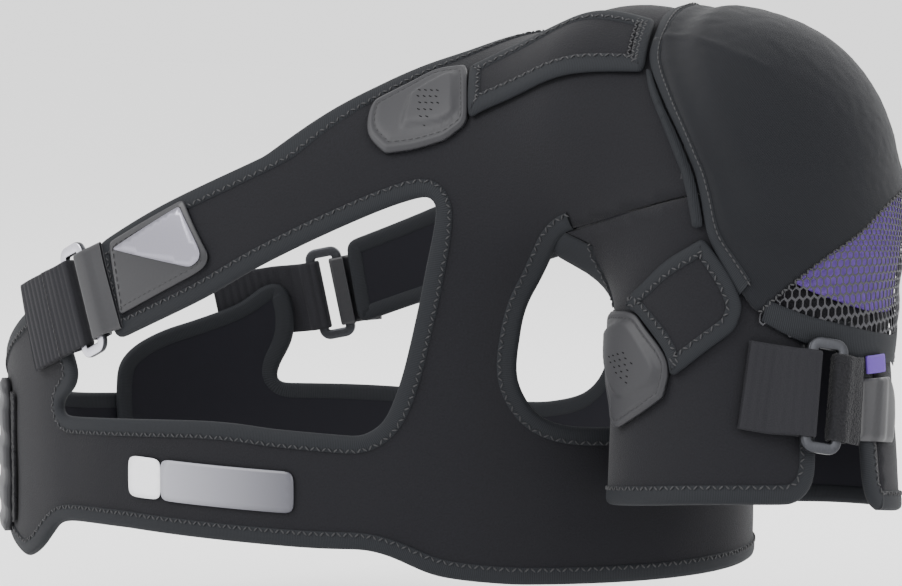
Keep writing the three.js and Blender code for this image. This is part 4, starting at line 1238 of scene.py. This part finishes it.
class ShoulderCap:
    """Foam pad with its stretch cloth cap, net, welt and tag."""

    base = 4.2
    pad_lift = 4.6
    pad_edge = 1.2
    pad_crown = 4.6
    pad_gap = 2.1
    run_out = 9.0
    left = [(-6, 103), (-27, 91), (-40, 79), (-50, 68), (-55, 56), (-57.5, 36), (-57, 18),
            (-55, -1), (-53, -20), (-49.5, -38), (-45, -47), (-40, -53.5), (-33, -61)]
    split = [(-25.5, -65.5), (-16, -60.5), (-7.5, -56), (2.5, -50.5), (14, -43.5), (30, -34),
             (48, -26), (64, -20), (80, -16)]
    far = [(92, 5), (88, 35), (70, 66), (40, 90), (10, 102), (-6, 103)]
    net_low = [(82, -56), (62, -73), (40, -78.5), (22, -76.5), (9, -74.3), (-2.5, -72.3),
               (-11.5, -70.5), (-18.5, -68.6), (-24.5, -66.6)]
    pad_edges = {
        "near": [(-12, 92), (-32, 78), (-42, 64), (-46, 50), (-48, 34), (-48, 16), (-46, -2),
                 (-43, -20), (-39, -36), (-30, -49)],
        "low": [(-14, -59), (2, -64), (22, -68), (42, -69), (60, -62)],
        "far": [(76, -30), (82, 4), (75, 36), (57, 60), (32, 80), (4, 92), (-12, 92)],
    }
    welt_edges = {
        "outer": [(-56.5, 62), (-62.5, 45), (-64, 17), (-61, -15), (-57, -36)],
        "end": [(-52, -36.5)],
        "inner": [(-55, -20), (-57.2, -1), (-59, 18), (-59.5, 36), (-57.6, 51), (-54.8, 60)],
        "close": [(-56.5, 62)],
    }
    crease = [(-47, 74), (-40.8, 71.6), (-34.3, 63.1), (-30.6, 53.6), (-25.3, 44.6), (-20.5, 36.6),
              (-14, 29)]

    def __init__(self) -> None:
        """Keeps the pad's outline, which the cap follows."""
        self.pad_cut = Cut(self.pad_edges, step=3.0, rounding=3)

    def pad_height(self, flat: Array) -> Array:
        """Thickness of the pad at a flat place."""
        inside = distance_inside(flat, self.pad_cut.loop)
        return self.pad_edge + self.pad_crown * smooth(inside / 16)

    def cap_lift(self, flat: Array) -> Array:
        """Height of the cap's inner face over the form."""
        inside = distance_inside(flat, self.pad_cut.loop)
        swell = self.pad_edge + self.pad_crown * smooth(inside / 16) + self.pad_gap
        return self.base + swell * smooth((inside + self.run_out) / (self.run_out - 1))

    def relief(self, flat: Array) -> Array:
        """Fine wrinkles of the stretched cloth and the fold that runs in from its corner."""
        line = curve_through(self.crease, 2.0)
        gap = np.min(np.linalg.norm(flat[:, None] - line[None], axis=2), axis=1)
        side = flat[:, 0] * 0.75 + flat[:, 1] * 0.66
        fold = 0.7 * np.exp(-((gap / 1.3) ** 2)) + 0.35 * np.exp(-((gap / 6) ** 2))
        wrinkle = np.array([
            noise.noise(Vector((x * 0.30 + y * 0.10, y * 0.16 - x * 0.05, 2.0)))
            + 0.6 * noise.noise(Vector((x * 0.62 + y * 0.2, y * 0.3, 7.0))) for x, y in flat])
        return fold + 0.22 * wrinkle * (0.6 + 0.4 * np.sin(side / 23))

    def pad(self) -> bpy.types.Object:
        """Foam pad with a low honeycomb relief."""
        def top(flat: Array) -> Array:
            """Height of the pad's outer face."""
            cells = np.array([noise.cell(Vector((x / 3.4, y / 3.4, 0.0))) for x, y in flat])
            return self.pad_lift + self.pad_height(flat) + 0.35 * cells
        pad = cloth("impact_pad_foam", self.pad_cut, DOME, plain(self.pad_lift), top, 2.6,
                    (0.8, 2.0))
        # The foam's lilac colour on the grain's tops is painted highlight
        dress(pad, "foam", FOAM, stands_for="impact_pad")
        return pad

    def cap(self) -> bpy.types.Object:
        """Stretch cloth over the upper pad, with a bound edge."""
        cut = Cut({"left": self.left, "split": self.split, "far": self.far}, ("split",), step=1.8)
        panel = Panel("shoulder_cap", cut, DOME, self.cap_lift, 1.2, 1.9, 4.4, "cap_cloth", STRETCH,
                      LINING, "stretched", StitchKind.LOCK, 0.0, self.relief)
        return panel.build()

    def net(self) -> bpy.types.Object:
        """Hexagonal net over the lower pad."""
        split = [(x + 0.2, y - 0.8) for x, y in self.split]
        cut = Cut({"split": split, "low": self.net_low}, ("split",), step=1.8)
        pitch = 2.7
        low, high = cut.loop.min(axis=0), cut.loop.max(axis=0)
        centres = []
        for row, y in enumerate(np.arange(low[1], high[1], pitch * 0.866)):
            x = np.arange(low[0] + (row % 2) * pitch / 2, high[0], pitch)
            centres.append(np.stack([x, np.full(len(x), y)], axis=1))
        middle = np.vstack(centres)
        middle = middle[distance_inside(middle, cut.loop) > -0.2]
        turn = np.radians(30 + 60 * np.arange(6))
        rim = np.stack([np.cos(turn), np.sin(turn)], axis=1) * pitch / math.sqrt(3)
        wire = 0.76
        flat = np.concatenate([middle[:, None] + rim, middle[:, None] + rim * wire], axis=1)
        flat = flat.reshape(-1, 2)
        bump = np.tile(np.concatenate([np.full(6, 0.35), np.full(6, 0.1)]), len(middle))
        place, normal = DOME.skin(flat)
        lift = self.cap_lift(flat) + 0.4 + bump
        points = (place + normal * lift[:, None] - SEAT) * MM
        faces = []
        for cell in range(len(middle)):
            start = cell * 12
            for side in range(6):
                after = (side + 1) % 6
                faces.append((start + side, start + after, start + 6 + after, start + 6 + side))
        net = link("cap_net_mesh", points, faces, flat * MM)
        thick = net.modifiers.new("yarn", "SOLIDIFY")
        thick.thickness = 0.0004
        thick.offset = -1.0
        dress(net, "net", NET, stands_for="cap_net")
        edge = Panel("cap_net", cut, DOME, self.cap_lift, 1.0, 2.5, 4.0)
        tape = dress(edge.tape_rows(cut.runs[0][0], False), "neoprene", TAPE)
        seam = curve_through(self.split, 1.5)
        places, facing = trim_row(DOME, seam, lambda flat: self.cap_lift(flat) + 1.5)
        sewn = STITCHER.sew("cap_split_stitches", [(places, facing)], THREAD, 1.6, 2.2, 0.9,
                            StitchKind.ZIGZAG)
        dress(sewn, "cap_cloth", THREAD)
        cut.size
        cut.area
        return net

    def trims(self) -> list[bpy.types.Object]:
        """Welt beside the cap, and the bare woven tag."""
        welt_cut = Cut(self.welt_edges, step=1.5, rounding=3)

        def crown(flat: Array) -> Array:
            """Rounded height of the welt."""
            return self.base + 0.5 + 1.7 * smooth(distance_inside(flat, welt_cut.loop) / 2.2)
        welt = cloth("cap_welt_cord", welt_cut, DOME, plain(self.base), crown, 1.4, (0.5, 1.1))
        dress(welt, "neoprene", TAPE, stands_for="cap_welt")
        welt_cut.size
        welt_cut.area
        tag_cut = Cut({"low": [(84, -147), (97, -147)], "right": [(97, -140)],
                       "top": [(84, -140)], "close": [(84, -147)]}, step=1.0, rounding=1)
        base = self.base + 1.0 + 1.2
        tag = cloth("woven_tag", tag_cut, SLEEVE, plain(base), plain(base + 1.0), 1.5)
        dress(tag, "tag_cloth", TAG, stands_for="cap_tag")
        return [welt, tag]

    def build(self) -> list[bpy.types.Object]:
        """Builds the pad and everything over it.

        Returns:
            The pieces.
        """
        return [self.pad(), self.cap(), self.net(), *self.trims()]


Frame = Callable[[Array, Array, Array], Array]


@dataclass(frozen=True)
class Fastening:
    """A rectangular loop with folded webbing on one bar, laid on a pattern."""

    name: str
    pattern: Pattern
    place: tuple[float, float]
    lean: float
    towards: int
    width: float
    base: float = 0.0
    bar: float = 4.5
    loop_thick: float = 3.0
    slot: float = 8.5
    side_room: float = 1.2
    lift: float = 2.2
    webbing: float = 1.5
    flat_run: float = 10.0

    @property
    def bar_offset(self) -> float:
        """Distance from the loop's middle to the middle of a long bar."""
        return (self.slot + self.bar) / 2

    def frame(self, run: Array, height: Array, spread: Array) -> Array:
        """Places beside the loop's middle, in metres."""
        angle = math.radians(self.lean)
        run, height, spread = np.broadcast_arrays(run, height, spread)
        if self.towards == 0:
            x = self.place[0] + run * math.cos(angle) + spread * math.sin(angle)
            y = self.place[1] - run * math.sin(angle) + spread * math.cos(angle)
        else:
            x = self.place[0] + self.towards * run * math.cos(angle) + spread * math.sin(angle)
            y = self.place[1] - run * math.sin(angle) + self.towards * spread * math.cos(angle)
        flat = np.stack([x.ravel(), y.ravel()], axis=1)
        return self.pattern.lay(flat, height.ravel()).reshape(*run.shape, 3)

    def axes(self) -> tuple[Array, Array, Array, Array]:
        """Middle of the loop and its across, length and outward directions."""
        one = np.array([0.0])
        middle = self.frame(one, one, one)[0]
        outward = unit(self.frame(one, one + 5, one)[0] - middle)
        length = unit(self.frame(one, one, one + 10)[0] - middle)
        across = unit(np.cross(length, outward))
        return middle, across, np.cross(outward, across), outward

    def bar_frame(self, sign: int) -> Frame:
        """Frame about one bar: flat like the loop beside it, then following the shell."""
        middle, across, upright, outward = self.axes()
        one = np.array([0.0])
        step = self.frame(one + 10, one, one)[0] - middle
        alike = 1 if float(step @ across) > 0 else -1

        def place(run: Array, height: Array, spread: Array) -> Array:
            """Places about the bar, in metres."""
            shift = sign * (run + self.bar_offset)
            rigid = (middle + (alike * shift)[..., None] * across * MM
                     + spread[..., None] * upright * MM + height[..., None] * outward * MM)
            share = smooth((run - self.bar) / self.flat_run)[..., None]
            return rigid * (1 - share) + self.frame(shift, height, spread) * share

        return place

    def loop(self, slot: str, face: Finish, sides: Finish) -> bpy.types.Object:
        """Steel loop with rounded bars.

        Args:
            slot: material slot.
            face: finish of its outer face.
            sides: finish of its sides.

        Returns:
            The loop.
        """
        half_x = (self.slot + self.bar) / 2
        half_y = self.width / 2 + self.side_room + self.bar / 2
        corner = 3.0
        path = []
        for index, (sx, sy) in enumerate(((1, 1), (-1, 1), (-1, -1), (1, -1))):
            for turn in np.radians(np.linspace(0, 90, 8) + 90 * index):
                path.append((sx * (half_x - corner) + corner * math.cos(turn),
                             sy * (half_y - corner) + corner * math.sin(turn)))
        line = np.array(path)
        along = unit(np.roll(line, -1, axis=0) - np.roll(line, 1, axis=0))
        out = np.stack([along[:, 1], -along[:, 0]], axis=1)
        middle, across, upright, outward = self.axes()
        rows = []
        for turn in np.linspace(0, 2 * math.pi, 20, endpoint=False):
            c, s = math.cos(turn), math.sin(turn)
            wide = math.copysign(abs(c) ** 0.5, c) * self.bar / 2
            tall = math.copysign(abs(s) ** 0.5, s) * self.loop_thick / 2
            flat = line + out * wide
            height = self.base + self.lift + self.loop_thick / 2 + tall
            rows.append(middle + (flat[:, :1] * across + flat[:, 1:] * upright
                                  + height * outward) * MM)
        lengths = travelled(line) * MM
        ring = swept(self.name + "_loop_ring", rows, True, True, lengths, np.arange(20) * 0.0007)
        dress(ring, slot, face, sides)
        for polygon in ring.data.polygons:
            polygon.material_index = int(float(np.array(polygon.normal) @ outward) < 0.55)
        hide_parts(self.name + "_loop")
        return ring

    def fold(self, top: Points, low: Points) -> Array:
        """Path of a fold round a bar, in run and height."""
        corner = 0.6
        under = self.base + self.lift - GAP - self.webbing / 2
        over = self.base + self.lift + self.loop_thick + GAP + self.webbing / 2
        bend = -self.bar / 2 - GAP - self.webbing / 2
        return np.array([
            *top, (self.bar / 2, over), (bend + corner, over), (bend, over - corner),
            (bend, under + corner), (bend + corner, under), (self.bar / 2, under), *low])

    def ribbon(self, name: str, path: Array, sign: int, ribs: float, fuzz: float = 0.0,
               ) -> tuple[bpy.types.Object, float]:
        """Strap that follows a path, with cross ribs.

        Args:
            name: name of the strap.
            path: run and height of its middle.
            sign: side of the loop that it lies on.
            ribs: depth of its cross ribs.
            fuzz: roughness of its pile.

        Returns:
            The strap and its length in metres.
        """
        parts = []
        for a, b in zip(path[:-1], path[1:]):
            count = max(1, round(float(np.linalg.norm(b - a)) / 0.45))
            parts.append(a + np.linspace(0, 1, count, endpoint=False)[:, None] * (b - a))
        line = ease(np.vstack([*parts, path[-1:]]), 8, False)
        length = travelled(line)
        along = unit(np.gradient(line, axis=0))
        normal = np.stack([-along[:, 1], along[:, 0]], axis=1)
        rib = ribs * (np.abs(np.sin(math.pi * length / 3.3)) - 1)
        half = self.width / 2
        spots = np.linspace(-half, half, 40)
        ring: list[tuple[float, int]] = [(spot, 1) for spot in spots]
        ring += [(spot, -1) for spot in spots[::-1]]
        place = self.bar_frame(sign)
        rows = []
        for index, (spot, face) in enumerate(ring):
            edge = smooth((half - abs(spot)) / 0.9)
            pile = fuzz * np.array([noise.noise(Vector((s * 0.9, spot * 0.9, face * 5.0)))
                                    for s in length])
            reach = (self.webbing / 2 + rib + pile) * (0.45 + 0.55 * edge)
            moved = line + face * normal * reach[:, None]
            rows.append(place(moved[:, 0], moved[:, 1], np.full(len(line), spot)))
        spread = np.array([spot for spot, _ in ring]) * MM
        thing = swept(name, rows, False, True, length * MM, spread)
        return thing, float(length[-1]) * MM


class Fastenings:
    """The three loops with their webbing, folds, patch, plate and bands."""

    near = Fastening("near", NEAR, (-70.0, -134.0), 22.0, -1, 38.0)
    far = Fastening("far", FAR, (-96.5, -151.0), 11.0, -1, 32.0)
    arm = Fastening("arm", SLEEVE, (61.0, -154.0), 9.0, 0, 34.0, base=4.4)

    def strap_side(self, item: Fastening, rise: tuple[float, float], steel: tuple[Finish, Finish],
                   slot: str) -> list[bpy.types.Object]:
        """Builds one chest fastening.

        Args:
            item: the fastening.
            rise: runs between which the webbing rises on the wing.
            steel: finishes of the loop's face and sides.
            slot: material slot of the loop.

        Returns:
            Loop, webbing and fold.
        """
        loop = item.loop(slot, *steel)
        high = item.lift + item.loop_thick + GAP + item.webbing / 2
        low = item.lift - GAP - item.webbing / 2
        on_wing = ON_SHELL + item.webbing / 2
        over = on_wing + item.webbing + 0.5
        path = item.fold([(36, over), (27, over), (18, over), (11, over + 0.2)],
                         [(rise[0], low), (rise[1], on_wing), (24, on_wing), (40, on_wing)])
        web, length = item.ribbon(item.name + "_webbing_strap", path, 1, 0.35)
        dress(web, "webbing", WEBBING, stands_for=item.name + "_webbing")
        rows = []
        run = np.full(30, 15.0)
        spread = np.linspace(-item.width / 2 + 1, item.width / 2 - 1, 30)
        face = item.bar_frame(1)
        line = face(run, np.full(30, over + 0.95), spread)
        rows.append((line, unit(line - face(run, np.full(30, over), spread))))
        sewn = STITCHER.sew(item.name + "_webbing_stitches", rows, THREAD, 2.6, 2.2, 0.7)
        dress(sewn, "webbing", THREAD)
        path = item.fold([(14, on_wing + 0.2), (8, on_wing + 0.6), (5, high - 0.2)],
                         [(item.bar / 2 + 1.2, low)])
        fold, _ = item.ribbon(item.name + "_strap_fold_end", path, -1, 0.0)
        dress(fold, "strap_rubber", STRAP_RUBBER, stands_for=item.name + "_strap_fold")
        return [loop, web, fold]

    def end_patch(self) -> list[bpy.types.Object]:
        """Smooth patch on the near strap's end, with its bare three-sided plate."""
        cut = Cut({
            "low": [(-45.5, -138.5), (-3, -118.5)],
            "corner": [(3, -114.5), (4, -110)],
            "right": [(-12.5, -89)],
            "top": [(-52.5, -108.5)],
            "close": [(-45.5, -138.5)],
        }, step=1.5, rounding=2)

        def top(flat: Array) -> Array:
            """Height with a rounded rim."""
            return ON_SHELL + 1.4 - 0.6 * (1 - smooth(distance_inside(flat, cut.loop) / 1.5))
        patch = cloth("strap_end_film", cut, NEAR, plain(ON_SHELL), top, 3.0, (0.5, 1.2))
        dress(patch, "strap_rubber", STRAP_RUBBER, stands_for="strap_end_patch")
        plate_cut = Cut({
            "low": [(-49, -111), (-4.5, -115.5)],
            "right": [(0.5, -109.5), (-13, -92)],
            "close": [(-49, -111)],
        }, step=1.0, rounding=3)
        base = ON_SHELL + 1.4 + 0.05
        plate = cloth("strap_end_plate_film", plate_cut, NEAR, plain(base), plain(base + 0.6), 2.5)
        dress(plate, "plate", PLATE, stands_for="strap_end_plate")
        line = sideways(cut.loop, 2.6, True)
        row = trim_row(NEAR, np.vstack([line, line[:1]]), plain(ON_SHELL + 1.45))
        sewn = STITCHER.sew("strap_end_stitches", [row], THREAD, 3.2, 2.4, 0.5)
        dress(sewn, "strap_rubber", THREAD)
        return [patch, plate]

    def arm_side(self) -> list[bpy.types.Object]:
        """Loop, webbing, fuzzy band and rubber end on the arm."""
        item = self.arm
        loop = item.loop("dark_steel", BLACK_STEEL, BLACK_STEEL)
        low = item.base + item.lift - GAP - item.webbing / 2
        over = ON_SHELL + item.webbing * 1.5 + 0.5
        on_sleeve = ON_SHELL + item.webbing / 2
        path = item.fold([(25, over), (14, over), (7, over + 1.6)],
                         [(6, low - 0.3), (12, on_sleeve), (26, on_sleeve)])
        web, length = item.ribbon("arm_webbing_strap", path, -1, 0.35)
        dress(web, "webbing", WEBBING, stands_for="arm_webbing")
        path = item.fold([(12.5, ON_SHELL + 3), (9, ON_SHELL + 3.4), (6, ON_SHELL + 4.2)],
                         [(6, low)])
        band, length = item.ribbon("arm_band_pile", path, 1, 0.0, 0.35)
        dress(band, "hook_loop", FUZZ, stands_for="arm_band")
        cut = Cut({
            "low": [(79, -172), (92, -173.5), (104, -175)],
            "tip": [(108, -167), (109.5, -157), (105.5, -149.5)],
            "top": [(82.5, -148.5)],
            "close": [(79, -172)],
        }, step=1.2, rounding=2)

        def top(flat: Array) -> Array:
            """Height with slanted facets."""
            edge = distance_inside(flat, cut.loop)
            slope = flat[:, 0] - 90 - 0.25 * (flat[:, 1] + 160)
            facet = 0.9 * smooth(slope / 2.5) - 0.7 * smooth((slope - 7) / 2.5)
            return ON_SHELL + 2.4 + facet - 0.9 * (1 - smooth(edge / 1.6))
        end = cloth("arm_band_end_tab", cut, SLEEVE, plain(ON_SHELL), top, 1.6, (0.5, 1.2))
        dress(end, "strap_rubber", STRAP_RUBBER, stands_for="arm_band_end")
        return [loop, web, band, end]

    def build(self) -> list[bpy.types.Object]:
        """Builds the fastenings.

        Returns:
            The pieces.
        """
        return [
            *self.strap_side(self.near, (4.5, 11.0), (STEEL, BLACK_STEEL), "loop_steel"),
            *self.strap_side(self.far, (3.6, 7.0), (DARK_STEEL, BLACK_STEEL), "dark_steel"),
            *self.end_patch(),
            *self.arm_side(),
        ]


class ClosureAndLabel:
    """Moulded pull tab with its hook strip, and the bare label on the near band."""

    def tab(self) -> bpy.types.Object:
        """Stepped rubber tab from the far side round to the near wing."""
        cut = Cut({
            "front": [(-141, -180), (-139.5, -200), (-138.5, -225), (-139.5, -240), (-143, -246)],
            "low": [(-160, -245), (-200, -238), (-250, -233), (-318, -232)],
            "back": [(-325, -226), (-325, -208), (-318, -202)],
            "top": [(-250, -198), (-200, -190), (-160, -181), (-147, -177), (-141, -180)],
        }, step=2.0, rounding=2)

        def base(flat: Array) -> Array:
            """Height over the panels, which overlap under the tab's middle."""
            return ON_SHELL + near_rise(flat) * (1 - smooth((-303 - flat[:, 0]) / 11))

        def top(flat: Array) -> Array:
            """Height with stepped facets and a rounded rim."""
            edge = distance_inside(flat, cut.loop)
            step = 0.8 * smooth((np.abs(((flat[:, 1] + 178) % 17) - 8.5) - 2.5) / 1.2)
            return base(flat) + 3.2 + step - 1.0 * (1 - smooth(edge / 2.0))
        tab = cloth("closure_tab_moulding", cut, NEAR, base, top, 2.6, (0.6, 1.4))
        dress(tab, "patch_rubber", RUBBER, stands_for="closure_tab")
        return tab

    def hook(self) -> bpy.types.Object:
        """Hook strip beside the tab's front edge."""
        cut = Cut({
            "left": [(-138.2, -182), (-137, -200), (-136.2, -225), (-137.2, -241)],
            "low": [(-132.5, -240)],
            "right": [(-132, -183)],
            "close": [(-138.2, -182)],
        }, step=1.5, rounding=1)

        def top(flat: Array) -> Array:
            """Uneven height of the pile."""
            pile = np.array([noise.noise(Vector((x * 1.1, y * 1.1, 3.0))) for x, y in flat])
            return ON_SHELL + 1.2 + 0.5 * pile
        hook = cloth("closure_hook_pile", cut, NEAR, plain(ON_SHELL), top, 0.8)
        dress(hook, "hook_loop", FUZZ, stands_for="closure_hook")
        return hook

    def label(self) -> list[bpy.types.Object]:
        """Label's white square and long satin field, both bare."""
        parts = []
        for name, left, right, slot, finish in (
                ("label_square", -41.0, -22.3, "label_white", WHITE),
                ("label", -22.2, 45.0, "label_print", PRINT)):
            cut = Cut({
                "low": [(left, -215.5), (right, -215.5)],
                "right": [(right, -198)],
                "top": [(left, -198)],
                "close": [(left, -215.5)],
            }, ("low", "right", "top", "close"), step=2.0)
            part = cloth(name + "_field", cut, NEAR, plain(3.7), plain(4.25), 3.0)
            dress(part, slot, finish, stands_for=name)
            cut.size
            cut.area
            parts.append(part)
        return parts

    def build(self) -> list[bpy.types.Object]:
        """Builds the tab, hook strip and label.

        Returns:
            The pieces.
        """
        return [self.tab(), self.hook(), *self.label()]


def stage_and_light() -> None:
    """Pale floor and backdrop, soft studio light and the camera of the photograph's view."""
    world = bpy.data.worlds.new("studio")
    world.use_nodes = True
    world.node_tree.nodes["Background"].inputs["Color"].default_value = (1.0, 1.0, 1.0, 1.0)
    world.node_tree.nodes["Background"].inputs["Strength"].default_value = 1.7
    bpy.context.scene.world = world
    floor = link("floor", np.array([[-4, -4, -0.3], [4, -4, -0.3], [4, 4, -0.3], [-4, 4, -0.3]]),
                 [(0, 1, 2, 3)], np.zeros((4, 2)))
    paint = bpy.data.materials.new("pale_floor_paint")
    paint.use_nodes = True
    paint.node_tree.nodes["Principled BSDF"].inputs["Base Color"].default_value = colour("#ffffff")
    paint.node_tree.nodes["Principled BSDF"].inputs["Roughness"].default_value = 0.9
    floor.data.materials.append(paint)
    middle = Vector((-0.153, 0.035, -0.135))
    lamps = [("key", (-0.9, -1.1, 1.1), 1.0, 26.0), ("side", (1.3, -0.5, 0.5), 0.8, 10.0),
             ("back", (0.1, 1.2, 0.9), 0.7, 12.0)]
    for name, place, size, power in lamps:
        data = bpy.data.lights.new(name, "AREA")
        data.size = size
        data.energy = power
        lamp = bpy.data.objects.new(name, data)
        lamp.location = place
        lamp.rotation_euler = (middle - Vector(place)).to_track_quat("-Z", "Y").to_euler()
        bpy.context.scene.collection.objects.link(lamp)
    data = bpy.data.cameras.new("photo_view")
    data.sensor_width = 36.0
    data.lens = 173.5
    camera = bpy.data.objects.new("photo_view", data)
    target = Vector((-0.1529, 0.0347, -0.1349))
    camera.location = (0.9309, -1.5131, 0.0637)
    camera.rotation_euler = (target - camera.location).to_track_quat("-Z", "Y").to_euler()
    bpy.context.scene.collection.objects.link(camera)
    bpy.context.scene.camera = camera


def main() -> None:
    """Builds the brace piece by piece, then the studio."""
    logging.basicConfig(level=logging.INFO, format="%(message)s")
    stage_and_light()
    for part in (Shell, Layers, Emblems, ShoulderCap, Fastenings, ClosureAndLabel):
        for thing in part().build():
            LOG.info("built %s", thing.name)


if __name__ == "__main__":
    main()
